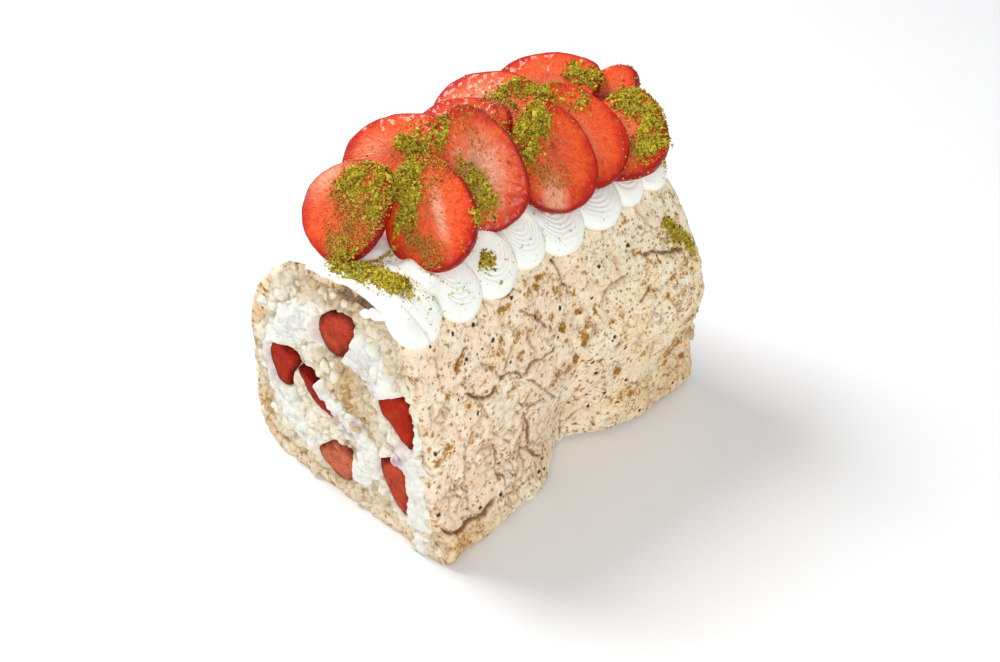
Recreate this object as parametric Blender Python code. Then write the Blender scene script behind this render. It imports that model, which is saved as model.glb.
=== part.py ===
"""A strawberry pavlova roll: a cut log of baked meringue rolled round cream and berry pieces.

Metres, +Z up. X runs across the roll, Y along it from the near cut end at -Y to the far cut end
at +Y. The origin is the middle of the base. Sizes below are in millimetres and are scaled once,
when a mesh is made.
"""

import math

import bmesh
import bpy
import numpy as np
from mathutils import Matrix, Vector

MM = 0.001
GAP = 0.3                       # air between pieces that touch

ROLL_LENGTH = 156.0
HALF_LENGTH = ROLL_LENGTH / 2
STATIONS = 11                   # cross-sections along the roll

# The roll's section at the near end, as (x, z): from the free lip of the outer layer at the lower
# right, up the right flank, over the top, down the left flank and along the flat base to the seam.
FLAT_BASE = 0.0
SECTION = [
    (50.0, 0.0), (56.5, 2.0), (56.0, 9.0), (52.0, 21.0), (49.5, 36.0), (50.0, 54.0), (47.0, 70.0),
    (43.5, 84.0), (38.5, 98.0), (28.0, 108.5), (12.0, 111.5), (-4.0, 110.5), (-18.0, 109.0),
    (-29.0, 104.5), (-38.5, 93.0), (-46.0, 80.0), (-51.5, 67.0), (-53.5, 54.0), (-53.0, 36.0),
    (-54.5, 20.0), (-51.0, 7.0), (-42.0, 0.0),
]
SECTION_SAMPLES = 40

# The middle line of the cream, from the seam in the base inwards, and its half width there.
CREAM_LINE = [
    (45.0, 0.0, 3.0), (42.0, 13.0, 5.5), (38.5, 30.0, 7.5), (38.0, 48.0, 7.5), (34.5, 64.0, 7.5),
    (24.0, 77.5, 7.5), (8.0, 84.0, 7.5), (-10.0, 83.0, 7.5), (-26.0, 74.0, 7.0),
    (-35.5, 59.0, 7.0), (-37.5, 42.0, 6.5), (-31.0, 27.5, 6.0), (-18.0, 19.5, 6.0),
    (-2.0, 17.5, 6.0), (11.5, 21.0, 5.0), (16.5, 31.0, 4.5), (9.0, 39.5, 4.5), (-3.0, 45.5, 4.5),
    (-13.0, 51.5, 4.0),
]
CREAM_SAMPLES = 27

# How the log changes along its length, with y measured from the middle.
WAIST_Y = 5.0                   # a dent low in both flanks
WAIST_REACH = 17.0
WAIST_DEPTH = 11.0
WAIST_HEIGHT = 34.0
SWELL_DEPTH = 11.5              # the far half bulges at mid height
SWELL_FROM = -13.0
SWELL_TO = 70.0
SWELL_HEIGHT = 56.0
SWELL_SPREAD = 36.0
SWELL_LEFT = 0.6                # how much of the swell the left flank has
BEND_REACH = 50.0               # both grow with the square of x over this, up to a limit
BEND_LIMIT = 1.2
FAR_SINK = 5.0                  # the far end stands this much lower, out of the log's height
LOG_HEIGHT = 110.0
SINK_FROM = -20.0               # where it starts to sink

# Berry pieces that show in a cut end: outline points (x, z) and depth into the roll.
NEAR_BERRIES = {
    "berry_near_top": [(-7, 88), (2, 95), (12, 96), (11, 86), (5, 76), (-3, 74), (-8, 80)],
    "berry_near_left": [(-41, 54), (-36, 61), (-28, 62), (-23, 58), (-28, 49), (-31, 41), (-38, 41)],
    "berry_near_core": [(-21, 55), (-16, 54), (-11, 49), (-4, 43), (-9, 43), (-16, 47)],
    "berry_near_base": [(-16, 16), (-10, 23), (-2, 29), (5, 27), (7, 20), (3, 11), (-4, 8), (-11, 10)],
    "berry_near_right": [(23, 65), (30, 71), (38, 75), (41, 67), (42, 53), (36, 51), (30, 56), (25, 60)],
    "berry_near_low": [(22, 34), (30, 39), (36, 38), (38, 30), (37, 14), (31, 15), (25, 23)],
}
FAR_BERRIES = {
    "berry_far_top": [(-14, 86), (-4, 93), (8, 92), (13, 84), (4, 77), (-8, 76)],
    "berry_far_left": [(-44, 46), (-38, 56), (-29, 54), (-28, 42), (-33, 33), (-41, 35)],
    "berry_far_base": [(-12, 12), (-8, 24), (4, 27), (14, 22), (10, 11), (-2, 8)],
    "berry_far_right": [(28, 52), (30, 66), (38, 71), (43, 60), (41, 46), (33, 44)],
    "berry_far_low": [(26, 22), (31, 36), (40, 36), (43, 22), (38, 12), (30, 13)],
}
BERRY_DEPTH = 15.0
BERRY_PROFILE = ((0.0, 1.0), (0.55, 1.0), (0.85, 0.8), (1.0, 0.45))     # (part of the depth, size)
POCKET_PAST = -2.0              # a pocket's cutter starts this far outside the cut end
BERRY_SAMPLES = 16

# The piped cream on top, whose strokes turn round in a loop at each side.
PIPING_FROM = 102.5             # its two edges, as lengths along the section from the free lip
PIPING_TO = 172.0
PIPING_WIDENS = 15.0            # how much further over the left shoulder it runs past the near end
WIDENS_FROM = -66.0
WIDENS_TO = -40.0
LOOP_PITCH = 18.0
LOOP_START = -71.0
LOOP_CUT = 8.0                  # how deep the notch between two loops is
CREAM_THICK = 8.5
LOOP_RISE = 2.0
CREAM_EDGE = 0.02               # the square of the part of its thickness left at its edges
PIPING_SINK = 2.5               # how far its underside reaches in before the roll is cut out of it
SEAT_PAST = 2.0                 # how far the cutter shaped like the roll runs past both ends
PIPING_STATIONS = 49
PIPING_ACROSS = 8

# Sliced strawberries standing in the piped cream: the middle of the cut face (x, y, z), how far it
# leans back from level, which way it looks (0 is the near end, 90 the right flank), how far the
# berry's tip is turned to the right, then half its width and half its length.
SLICES = {
    "slice_left_1": ((-5, -63, 131.5), 54, 6, 33, 17.7, 20.6),
    "slice_right_1": ((17.5, -43.5, 130), 45, 21, -29, 17.3, 22.1),
    "slice_left_2": ((-16.5, -27.5, 132.5), 41, 8, 46, 17.9, 23.7),
    "slice_right_2": ((16.5, -18, 135.5), 55, 43, -15, 18.4, 24.5),
    "slice_left_3": ((-7.5, -5, 133), 43, 10, 44, 18.0, 23.7),
    "slice_right_3": ((25.5, 15.5, 131), 44, 67, 5, 17.1, 22.7),
    "slice_left_4": ((-18, 24, 131), 35, 12, 59, 17.8, 24.5),
    "slice_right_4": ((22, 34.5, 131.5), 39, 54, -23, 17.4, 22.9),
    "slice_left_5": ((-12.5, 53, 130.5), 34, 20, 58, 17.8, 24.3),
    "slice_right_5": ((28, 54.5, 126), 29, 22, -6, 17.9, 21.0),
    "slice_end": ((8.5, 67, 128.5), 53, 8, 20, 12.0, 16.0),
}
SLICE_NOTCHES = {"slice_end": ("slice_left_5", "slice_right_5")}    # it gives way where they press
SLICE_THICK = 4.6
SLICE_TAPER = 0.22              # how much narrower the tip is than the stalk end
SLICE_ROUND = 1.3
SLICE_SAMPLES = 20

# Base colours, and how rough each surface is.
MERINGUE = ((0.80, 0.69, 0.54), 0.75)
ROLLED_CREAM = ((0.93, 0.92, 0.88), 0.45)
PIPED_CREAM = ((0.95, 0.94, 0.91), 0.4)
CUT_BERRY = ((0.62, 0.07, 0.03), 0.35)
SLICED_BERRY = ((0.72, 0.09, 0.03), 0.3)
CUTTER = ((0.5, 0.5, 0.5), 0.5)
SHARP_ANGLE = 40.0              # degrees between faces from which an edge is drawn sharp


def smooth_step(value, start, end):
    """Rises from 0 at start to 1 at end with flat ends."""
    t = np.clip((value - start) / (end - start), 0.0, 1.0)
    return t * t * (3.0 - 2.0 * t)


def curve_through(points, samples, closed=False):
    """Catmull-Rom curve through the points, evenly stepped in its own parameter."""
    pts = np.asarray(points, float)
    count = len(pts)
    spans = count if closed else count - 1
    t = np.linspace(0.0, spans, samples, endpoint=not closed)
    i = np.minimum(t.astype(int), spans - 1)
    f = (t - i)[:, None]
    if closed:
        p0, p1, p2, p3 = (pts[(i + k) % count] for k in (-1, 0, 1, 2))
    else:
        padded = np.vstack([2 * pts[0] - pts[1], pts, 2 * pts[-1] - pts[-2]])
        p0, p1, p2, p3 = (padded[i + k] for k in (0, 1, 2, 3))
    return 0.5 * (
        2 * p1 + (p2 - p0) * f + (2 * p0 - 5 * p1 + 4 * p2 - p3) * f**2
        + (3 * p1 - p0 - 3 * p2 + p3) * f**3
    )


def normals_2d(line):
    """Unit normals of an open line, on its left-hand side."""
    along = np.gradient(line, axis=0)
    along /= np.linalg.norm(along, axis=1)[:, None]
    return np.column_stack([-along[:, 1], along[:, 0]])


def shape_log(points):
    """Bends straight-log points (x, y, z) to the uneven log: a waist low down, a swell at mid height
    in the far half, and a far end that stands a little lower."""
    x, y, z = np.asarray(points, float).T
    waist = WAIST_DEPTH * np.exp(-(((y - WAIST_Y) / WAIST_REACH) ** 2) - (z / WAIST_HEIGHT) ** 2)
    swell = SWELL_DEPTH * smooth_step(y, SWELL_FROM, SWELL_TO)
    swell = swell * np.exp(-(((z - SWELL_HEIGHT) / SWELL_SPREAD) ** 2)) * np.where(x < 0, SWELL_LEFT, 1.0)
    reach = np.clip(np.abs(x) / BEND_REACH, 0.0, BEND_LIMIT) ** 2
    x = x + np.sign(x) * reach * (swell - waist)
    z = z * (1.0 - FAR_SINK / LOG_HEIGHT * smooth_step(y, SINK_FROM, HALF_LENGTH))
    return np.column_stack([x, y, z])


def roll_section():
    """The section's outer line, from the free lip round to the seam's far side."""
    line = curve_through(SECTION, SECTION_SAMPLES)
    line[:, 1] = np.maximum(line[:, 1], FLAT_BASE)
    return line


def cream_sides(grow=0.0):
    """The two sides of the cream layer in the section, from the seam inwards, grown by a gap."""
    line = curve_through(CREAM_LINE, CREAM_SAMPLES)
    middle, half = line[:, :2], line[:, 2:3]
    side = normals_2d(middle) * (half + grow)
    inwards = (middle[-1] - middle[-2]) / np.linalg.norm(middle[-1] - middle[-2])
    middle[-1] += inwards * grow
    return middle + side, middle - side


def mesh_object(name, vertices, faces, finish):
    """Makes a named object from points in millimetres, faces outwards, with its own material."""
    colour, roughness = finish
    mesh = bpy.data.meshes.new(name)
    mesh.from_pydata([tuple(v) for v in np.asarray(vertices) * MM], [], faces)
    work = bmesh.new()
    work.from_mesh(mesh)
    bmesh.ops.recalc_face_normals(work, faces=work.faces)
    work.to_mesh(mesh)
    work.free()
    material = bpy.data.materials.new(name)
    material.use_nodes = True
    shader = material.node_tree.nodes["Principled BSDF"]
    shader.inputs["Base Color"].default_value = (*colour, 1.0)
    shader.inputs["Roughness"].default_value = roughness
    mesh.materials.append(material)
    item = bpy.data.objects.new(name, mesh)
    bpy.context.scene.collection.objects.link(item)
    mesh.shade_smooth()
    mesh.set_sharp_from_angle(angle=math.radians(SHARP_ANGLE))
    return item


def loft(loops):
    """Points and faces of a closed solid carried through equal loops, with a face at each end."""
    count, ring = len(loops), len(loops[0])
    faces = []
    for i in range(count - 1):
        for j in range(ring):
            k = (j + 1) % ring
            faces.append((i * ring + j, i * ring + k, (i + 1) * ring + k, (i + 1) * ring + j))
    faces.append(tuple(range(ring - 1, -1, -1)))
    faces.append(tuple(range((count - 1) * ring, count * ring)))
    return np.vstack(loops), faces


def along_log(section, start=-HALF_LENGTH, end=HALF_LENGTH, stations=STATIONS):
    """Loops of one section carried along the log and shaped to it."""
    loops = []
    for y in np.linspace(start, end, stations):
        flat = np.column_stack([section[:, 0], np.full(len(section), y), section[:, 1]])
        loops.append(shape_log(flat))
    return loops


def cut_by(item, cutter):
    """Takes the cutter's space out of the item."""
    modifier = item.modifiers.new("cut_" + cutter.name, "BOOLEAN")
    modifier.operation = "DIFFERENCE"
    modifier.solver = "EXACT"
    modifier.object = cutter


def make_cutter(name, vertices, faces):
    """Makes an object that only takes its space out of others and isn't part of the model."""
    item = mesh_object(name, vertices, faces, CUTTER)
    item.hide_render = True
    item.display_type = "WIRE"
    return item


def make_roll():
    """The rolled meringue: the section with the cream's slot running in from the seam."""
    left, right = cream_sides(GAP)
    slot = np.vstack([left, right[::-1]])
    slot[:, 1] = np.maximum(slot[:, 1], FLAT_BASE)
    section = np.vstack([roll_section(), slot])
    vertices, faces = loft(along_log(section))
    return mesh_object("meringue_roll", vertices, faces, MERINGUE)


def make_filling():
    """The cream rolled up in the meringue, through the whole length."""
    upper, lower = cream_sides()
    section = np.vstack([upper, lower[::-1]])
    section[:, 1] = np.maximum(section[:, 1], FLAT_BASE)
    vertices, faces = loft(along_log(section))
    return mesh_object("cream_filling", vertices, faces, ROLLED_CREAM)


def berry_loops(points, grow, near):
    """Loops of a berry piece sunk in a cut end: full at the face and rounded at the back."""
    outline = curve_through(points, BERRY_SAMPLES, closed=True)
    middle = outline.mean(axis=0)
    radius = np.linalg.norm(outline - middle, axis=1)[:, None]
    face_y = -HALF_LENGTH if near else HALF_LENGTH
    inward = 1.0 if near else -1.0
    past = POCKET_PAST if grow else 0.0
    loops = []
    for part_in, size in BERRY_PROFILE:
        depth = BERRY_DEPTH * part_in if part_in else past
        ring = middle + (outline - middle) * (size + grow / radius)
        y = face_y + inward * (depth + (grow if depth > 0 else 0.0))
        flat = np.column_stack([ring[:, 0], np.full(len(ring), y), ring[:, 1]])
        loops.append(shape_log(flat))
    return loops


def make_end_berries(hosts):
    """The berry pieces in both cut ends, each set in its own pocket in the cream and meringue."""
    for near, group in ((True, NEAR_BERRIES), (False, FAR_BERRIES)):
        for name, points in group.items():
            vertices, faces = loft(berry_loops(points, 0.0, near))
            mesh_object(name, vertices, faces, CUT_BERRY)
            vertices, faces = loft(berry_loops(points, GAP, near))
            cutter = make_cutter("pocket_" + name, vertices, faces)
            for host in hosts:
                cut_by(host, cutter)


def scallop(y):
    """How far out the edge of the piping reaches: 1 at the middle of a loop, 0 at a notch."""
    phase = np.mod((y - LOOP_START) / LOOP_PITCH + 0.5, 1.0)
    return np.sqrt(np.maximum(0.0, 1.0 - (2.0 * phase - 1.0) ** 2))


def make_piping():
    """The cream piped to and fro over the top: a thick band with looped edges on both sides."""
    outer = roll_section()
    step = np.linalg.norm(np.diff(outer, axis=0), axis=1)
    length = np.concatenate([[0.0], np.cumsum(step)])
    normal = -normals_2d(outer)
    loops = []
    for y in np.linspace(-HALF_LENGTH, HALF_LENGTH, PIPING_STATIONS):
        loop_here = float(scallop(y))
        notch = LOOP_CUT * (1.0 - loop_here)
        # The section runs from right to left, so the band's right edge comes first.
        first = PIPING_FROM + notch
        last = PIPING_TO + PIPING_WIDENS * float(smooth_step(y, WIDENS_FROM, WIDENS_TO)) - notch
        across = np.linspace(0.0, 1.0, PIPING_ACROSS + 1)
        place = first + (last - first) * (0.5 - 0.5 * np.cos(math.pi * across))
        spot = np.column_stack([np.interp(place, length, outer[:, k]) for k in (0, 1)])
        out = np.column_stack([np.interp(place, length, normal[:, k]) for k in (0, 1)])
        out /= np.linalg.norm(out, axis=1)[:, None]
        thick = CREAM_THICK + LOOP_RISE * loop_here
        crown = thick * np.sqrt(np.clip(1.0 - (2.0 * across - 1.0) ** 4, CREAM_EDGE, 1.0))[:, None]
        top = spot + out * (GAP + crown)
        under = (spot - out * PIPING_SINK)[::-1]
        ring = np.vstack([top, under])
        flat = np.column_stack([ring[:, 0], np.full(len(ring), y), ring[:, 1]])
        loops.append(shape_log(flat))
    vertices, faces = loft(loops)
    piping = mesh_object("piped_cream", vertices, faces, PIPED_CREAM)
    grown = outer + normal * GAP
    vertices, faces = loft(along_log(grown, -HALF_LENGTH - SEAT_PAST, HALF_LENGTH + SEAT_PAST))
    cut_by(piping, make_cutter("seat_piping", vertices, faces))
    return piping


def slice_frame(centre, lean, toward, turn):
    """The slice's own axes: +Z out of its cut face, +Y to the berry's tip."""
    tilt = math.radians(lean)
    look = math.radians(toward)
    out = Vector((math.sin(tilt) * math.sin(look), -math.sin(tilt) * math.cos(look), math.cos(tilt)))
    uphill = (Vector((0.0, 0.0, 1.0)) - out * out.z).normalized()
    right = uphill.cross(out)
    tip = uphill * math.cos(math.radians(turn)) + right * math.sin(math.radians(turn))
    side = tip.cross(out)
    frame = Matrix((side, tip, out)).transposed().to_4x4()
    frame.translation = Vector(centre)
    return frame


def slice_loops(half_width, half_length, grow):
    """Loops of an egg-shaped slice with a rounded rim, its cut face at z = 0 and its back below."""
    angle = np.linspace(0.0, 2.0 * math.pi, SLICE_SAMPLES, endpoint=False)
    shape = np.column_stack([
        np.sin(angle) * (1.0 - SLICE_TAPER * np.cos(angle)),
        np.cos(angle),
    ])
    loops = []
    back = -SLICE_THICK
    profile = (
        (grow, SLICE_ROUND),
        (-SLICE_ROUND, 0.0),
        (back + SLICE_ROUND, 0.0),
        (back - grow, SLICE_ROUND),
    )
    for z, inset in profile:
        size = np.array([half_width - inset + grow, half_length - inset + grow])
        ring = shape * size
        loops.append(np.column_stack([ring, np.full(len(ring), z)]))
    return loops


def place_loops(loops, frame):
    """Moves loops of points by a frame."""
    turn = np.array(frame.to_3x3())
    return [loop @ turn.T + np.array(frame.translation) for loop in loops]


def make_slices(piping):
    """The leaning strawberry slices, each pressed into the piped cream."""
    seats = {}
    made = {}
    for name, (centre, lean, toward, turn, half_width, half_length) in SLICES.items():
        frame = slice_frame(centre, lean, toward, turn)
        vertices, faces = loft(place_loops(slice_loops(half_width, half_length, 0.0), frame))
        made[name] = mesh_object(name, vertices, faces, SLICED_BERRY)
        vertices, faces = loft(place_loops(slice_loops(half_width, half_length, GAP), frame))
        cutter = make_cutter("seat_" + name, vertices, faces)
        cut_by(piping, cutter)
        seats[name] = cutter
    for name, others in SLICE_NOTCHES.items():
        for other in others:
            cut_by(made[name], seats[other])


def clear_scene():
    """Removes what the scene starts with."""
    for item in list(bpy.data.objects):
        bpy.data.objects.remove(item, do_unlink=True)


def main():
    clear_scene()
    roll = make_roll()
    filling = make_filling()
    make_end_berries([roll, filling])
    piping = make_piping()
    make_slices(piping)


main()
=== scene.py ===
"""Looks of a strawberry pavlova roll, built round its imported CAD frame.

Sizes are in millimetres until a mesh is made. X runs across the roll, Y along it from the near cut
end to the far one, and Z up. The roll's skin is measured by arc, the way round its section from the
free lip at the lower right, and by along, which is Y.
"""

from __future__ import annotations

import logging
import math
from dataclasses import dataclass, field
from enum import Enum

import bpy
import numpy as np
from mathutils import Matrix, Vector
from mathutils.bvhtree import BVHTree

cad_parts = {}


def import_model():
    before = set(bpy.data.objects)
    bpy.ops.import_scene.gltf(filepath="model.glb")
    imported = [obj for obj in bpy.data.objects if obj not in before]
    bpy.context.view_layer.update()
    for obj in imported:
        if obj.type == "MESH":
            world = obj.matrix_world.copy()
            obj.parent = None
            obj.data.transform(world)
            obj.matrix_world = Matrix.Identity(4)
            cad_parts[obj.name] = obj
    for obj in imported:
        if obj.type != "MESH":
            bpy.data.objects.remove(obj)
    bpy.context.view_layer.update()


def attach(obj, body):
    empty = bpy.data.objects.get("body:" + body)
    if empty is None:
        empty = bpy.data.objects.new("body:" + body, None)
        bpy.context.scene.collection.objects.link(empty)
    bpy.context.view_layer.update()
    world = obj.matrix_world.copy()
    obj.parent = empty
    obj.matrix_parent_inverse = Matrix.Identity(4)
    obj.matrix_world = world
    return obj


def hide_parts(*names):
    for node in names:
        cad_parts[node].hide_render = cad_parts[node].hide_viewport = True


Array = np.ndarray
Colour = tuple[float, float, float]
MM = 0.001
LOG = logging.getLogger("pavlova")
HASH_A, HASH_B, HASH_C, HASH_D, HASH_E = (np.uint64(n) for n in (374761393, 668265263, 2147483629, 974634777, 2246822519))
LOW_BITS = np.uint64(0xFFFFFFFF)


# ---------------------------------------------------------------- numbers and curves


def smooth_step(value: Array, low: float, high: float) -> Array:
    """Rises smoothly from 0 at low to 1 at high: 3t^2 - 2t^3."""
    t = np.clip((value - low) / (high - low), 0.0, 1.0)
    return t * t * (3.0 - 2.0 * t)


def bell(value: Array, width: float) -> Array:
    """A bump of height 1 at 0: exp(-(value / width)^2)."""
    return np.exp(-((value / width) ** 2))


def hashed(cells: Array, seed: int) -> Array:
    """A fixed random number from 0 to 1 for each whole-number cell.

    Args:
        cells: whole numbers, any shape ending in 2 or 3.
        seed: picks one set of numbers.

    Returns:
        One number per cell.
    """
    c = cells.astype(np.int64).astype(np.uint64)
    mixed = c[..., 0] * HASH_A + c[..., 1] * HASH_B + np.uint64(seed + 11) * HASH_D
    if c.shape[-1] > 2:
        mixed = mixed + c[..., 2] * HASH_C
    mixed &= LOW_BITS
    mixed = ((mixed ^ (mixed >> np.uint64(15))) * HASH_E) & LOW_BITS
    mixed = ((mixed ^ (mixed >> np.uint64(13))) * HASH_A) & LOW_BITS
    return (mixed ^ (mixed >> np.uint64(16))).astype(np.float64) / float(LOW_BITS)


def noise(points: Array, size: float, seed: int, octaves: int = 1) -> Array:
    """Smooth noise from -1 to 1: random numbers on a lattice, blended with a quintic, summed over octaves.

    Args:
        points: places, any shape ending in 2 or 3, in mm.
        size: lattice step of the first octave, in mm; each further octave halves it and its weight.
        seed: picks one field.
        octaves: how many steps are summed.

    Returns:
        One value per point.
    """
    total, weight, whole = 0.0, 1.0, 0.0
    dims = points.shape[-1]
    for octave in range(octaves):
        grid = points / (size * 0.5**octave)
        low = np.floor(grid)
        part = grid - low
        part = part * part * part * (part * (part * 6.0 - 15.0) + 10.0)
        level = 0.0
        for corner in range(2**dims):
            bits = np.array([(corner >> k) & 1 for k in range(dims)])
            share = np.prod(np.where(bits == 1, part, 1.0 - part), axis=-1)
            level = level + share * hashed(low + bits, seed + 101 * octave)
        total = total + weight * (2.0 * level - 1.0)
        whole += weight
        weight *= 0.5
    return total / whole


@dataclass
class Cells:
    """Nearest cell of a jittered lattice at each point: border distance in mm, centre distance, number, offset."""

    edge: Array
    centre: Array
    number: Array
    offset: Array


def cells(points: Array, size: float, seed: int, jitter: float = 0.9) -> Cells:
    """Voronoi cells of one random site per square of a lattice.

    The border distance is (second^2 - first^2) / (2 x distance between the two nearest sites).

    Args:
        points: places in two dimensions, in mm, shape (..., 2).
        size: lattice step in mm.
        seed: picks one set of sites.
        jitter: how far a site strays in its square, 0 to 1.

    Returns:
        What the nearest cell is at each point.
    """
    grid = points / size
    low = np.floor(grid)
    first = np.full(grid.shape[:-1], 1e9)
    second = first.copy()
    near = np.zeros_like(grid)
    other = np.zeros_like(grid)
    number = np.zeros_like(first)
    for across in (-1, 0, 1):
        for up in (-1, 0, 1):
            cell = low + np.array([across, up])
            site = np.stack([hashed(cell, seed), hashed(cell, seed + 1)], -1)
            away = cell + 0.5 + jitter * (site - 0.5) - grid
            gap = (away**2).sum(-1)
            closer = gap < first
            runner = ~closer & (gap < second)
            other = np.where(closer[..., None], near, np.where(runner[..., None], away, other))
            second = np.where(closer, first, np.where(runner, gap, second))
            near = np.where(closer[..., None], away, near)
            number = np.where(closer, hashed(cell, seed + 2), number)
            first = np.where(closer, gap, first)
    apart = np.sqrt(((near - other) ** 2).sum(-1)) + 1e-6
    return Cells((second - first) / (2.0 * apart) * size, np.sqrt(first) * size, number, near * size)


def curve_through(points: tuple, samples: int, closed: bool) -> Array:
    """Catmull-Rom curve through points: between each two, the cubic whose slopes join the neighbours.

    Args:
        points: places, any number of columns.
        samples: number of points on the curve.
        closed: whether the last point joins the first.

    Returns:
        The curve's points, evenly spaced in the parameter.
    """
    p = np.array(points, float)
    count = len(p)
    t = np.linspace(0, count if closed else count - 1, samples, endpoint=not closed)
    i = np.minimum(t.astype(int), count - 1 if closed else count - 2)
    f = (t - i)[:, None]

    def at(k: Array) -> Array:
        return p[k % count] if closed else p[np.clip(k, 0, count - 1)]

    a, b, c, d = at(i - 1), at(i), at(i + 1), at(i + 2)
    return 0.5 * (2 * b + (c - a) * f + (2 * a - 5 * b + 4 * c - d) * f**2 + (3 * b - a - 3 * c + d) * f**3)


@dataclass
class Nearness:
    """Distance to a line, share of the way along it, and which side, at each point."""

    gap: Array
    share: Array
    side: Array


def near_line(points: Array, line: Array) -> Nearness:
    """How close points in a plane are to a line of straight pieces.

    Args:
        points: places, shape (..., 2).
        line: the line's points, shape (n, 2).

    Returns:
        Distance, share of the line's length, and a side that is positive on the left.
    """
    flat = points.reshape(-1, 2)
    steps = np.diff(line, axis=0)
    lengths = np.linalg.norm(steps, axis=1)
    starts = np.concatenate([[0.0], np.cumsum(lengths)])
    gap = np.full(len(flat), 1e9)
    share, side = np.zeros(len(flat)), np.zeros(len(flat))
    for start, step, length, done in zip(line[:-1], steps, lengths, starts):
        away = flat - start
        t = np.clip(away @ step / max(length**2, 1e-9), 0.0, 1.0)
        off = away - t[:, None] * step
        d = np.sqrt((off**2).sum(1))
        closer = d < gap
        gap = np.where(closer, d, gap)
        share = np.where(closer, (done + t * length) / starts[-1], share)
        side = np.where(closer, np.sign(step[0] * off[:, 1] - step[1] * off[:, 0]), side)
    shape = points.shape[:-1]
    return Nearness(gap.reshape(shape), share.reshape(shape), side.reshape(shape))


def inside_loop(points: Array, loop: Array) -> Array:
    """Signed distance to a closed loop, positive inside: crossings counted along +x give the sign."""
    closed = np.vstack([loop, loop[:1]])
    gap = near_line(points, closed).gap
    x, z = points[..., 0], points[..., 1]
    odd = np.zeros(x.shape, bool)
    for (x0, z0), (x1, z1) in zip(closed[:-1], closed[1:]):
        crosses = (z0 > z) != (z1 > z)
        odd ^= crosses & (x < (x1 - x0) * (z - z0) / (z1 - z0 + 1e-12) + x0)
    return np.where(odd, gap, -gap)


# ---------------------------------------------------------------- meshes


def grid_faces(rows: int, columns: int, around: bool = False, start: int = 0) -> Array:
    """Quads of a grid of rows x columns points numbered row by row; around joins the last column to the first."""
    r = np.arange(rows - 1)[:, None]
    c = np.arange(columns if around else columns - 1)[None, :]
    n = (c + 1) % columns
    quads = np.stack([r * columns + c, r * columns + n, (r + 1) * columns + n, (r + 1) * columns + c], -1)
    return quads.reshape(-1, 4) + start


def fan_faces(ring: Array, tip: int, turned: bool = False) -> Array:
    """Triangles from each step of a ring of point numbers to one tip."""
    after = np.roll(ring, -1)
    tips = np.full(len(ring), tip)
    return np.stack([after, ring, tips] if turned else [ring, after, tips], -1)


@dataclass
class Form:
    """Points in mm, faces, and values that the finish reads, gathered until the mesh is made."""

    points: list = field(default_factory=list)
    faces: list = field(default_factory=list)
    values: dict = field(default_factory=dict)
    count: int = 0

    def add(self, points: Array, faces: list, **values: Array) -> int:
        """Adds points and faces numbered from 0.

        Args:
            points: places in mm, shape (n, 3).
            faces: arrays of quads or triangles.
            values: one number per point for each name.

        Returns:
            The number that the first of these points gets.
        """
        start = self.count
        self.points.append(points.reshape(-1, 3))
        self.faces += [f + start for f in faces]
        for name, value in values.items():
            self.values.setdefault(name, []).append(np.broadcast_to(np.ravel(value), len(self.points[-1])))
        self.count += len(self.points[-1])
        return start

    def mesh(self, name: str) -> bpy.types.Object:
        """Makes the mesh object at the origin, in metres, with its values as point attributes."""
        points = np.concatenate(self.points) * MM
        mesh = bpy.data.meshes.new(name)
        mesh.vertices.add(len(points))
        mesh.vertices.foreach_set("co", points.astype(np.float32).ravel())
        sizes = np.concatenate([np.full(len(f), f.shape[1]) for f in self.faces])
        corners = np.concatenate([f.ravel() for f in self.faces])
        mesh.loops.add(len(corners))
        mesh.loops.foreach_set("vertex_index", corners.astype(np.int32))
        mesh.polygons.add(len(sizes))
        starts = np.concatenate([[0], np.cumsum(sizes)[:-1]])
        mesh.polygons.foreach_set("loop_start", starts.astype(np.int32))
        mesh.polygons.foreach_set("use_smooth", np.ones(len(sizes), bool))
        for key, parts in self.values.items():
            layer = mesh.attributes.new(key, "FLOAT", "POINT")
            layer.data.foreach_set("value", np.concatenate(parts).astype(np.float32))
        mesh.update(calc_edges=True)
        mesh.validate()
        made = bpy.data.objects.new(name, mesh)
        bpy.context.scene.collection.objects.link(made)
        return made


def add_slab(form: Form, outer: Array, inner: Array, **values: Array) -> None:
    """A closed slab: a fine outer grid and a coarse inner one behind it, joined along their borders.

    Along each long border, outer point j of m is joined to inner point round(j (k - 1) / (m - 1)) of k.

    Args:
        form: where it is added.
        outer: outer skin, shape (rows, columns, 3), rows round the roll and columns along it.
        inner: inner skin, shape (rows, fewer columns, 3), its ends behind the outer one's ends.
        values: numbers per outer point, shape (rows, columns); inner points take those in front of them.
    """
    rows, columns = outer.shape[:2]
    few = inner.shape[1]
    behind = rows * columns
    faces = [grid_faces(rows, columns), grid_faces(rows, few, start=behind)[:, ::-1]]
    r = np.arange(rows - 1)
    for outside, inside, turned in ((r * columns, behind + r * few, False), (r * columns + columns - 1, behind + r * few + few - 1, True)):
        strip = np.stack([inside, outside, outside + columns, inside + few], -1)
        faces.append(strip[:, ::-1] if turned else strip)
    share = np.round(np.arange(columns) * (few - 1) / (columns - 1)).astype(int)
    for row, turned in ((0, False), (rows - 1, True)):
        skin = row * columns + np.arange(columns)
        under = behind + row * few + share
        edge = np.stack([skin[1:], skin[:-1], under[:-1]], -1)
        changes = under[1:] != under[:-1]
        fill = np.stack([skin[1:], under[:-1], under[1:]], -1)[changes]
        both = np.concatenate([edge, fill])
        faces.append(both[:, ::-1] if turned else both)
    picks = np.round(np.linspace(0, columns - 1, few)).astype(int)
    spread = {key: np.concatenate([value.ravel(), value[:, picks].ravel()]) for key, value in values.items()}
    form.add(np.concatenate([outer.reshape(-1, 3), inner.reshape(-1, 3)]), faces, **spread)


# ---------------------------------------------------------------- shader nodes


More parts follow.
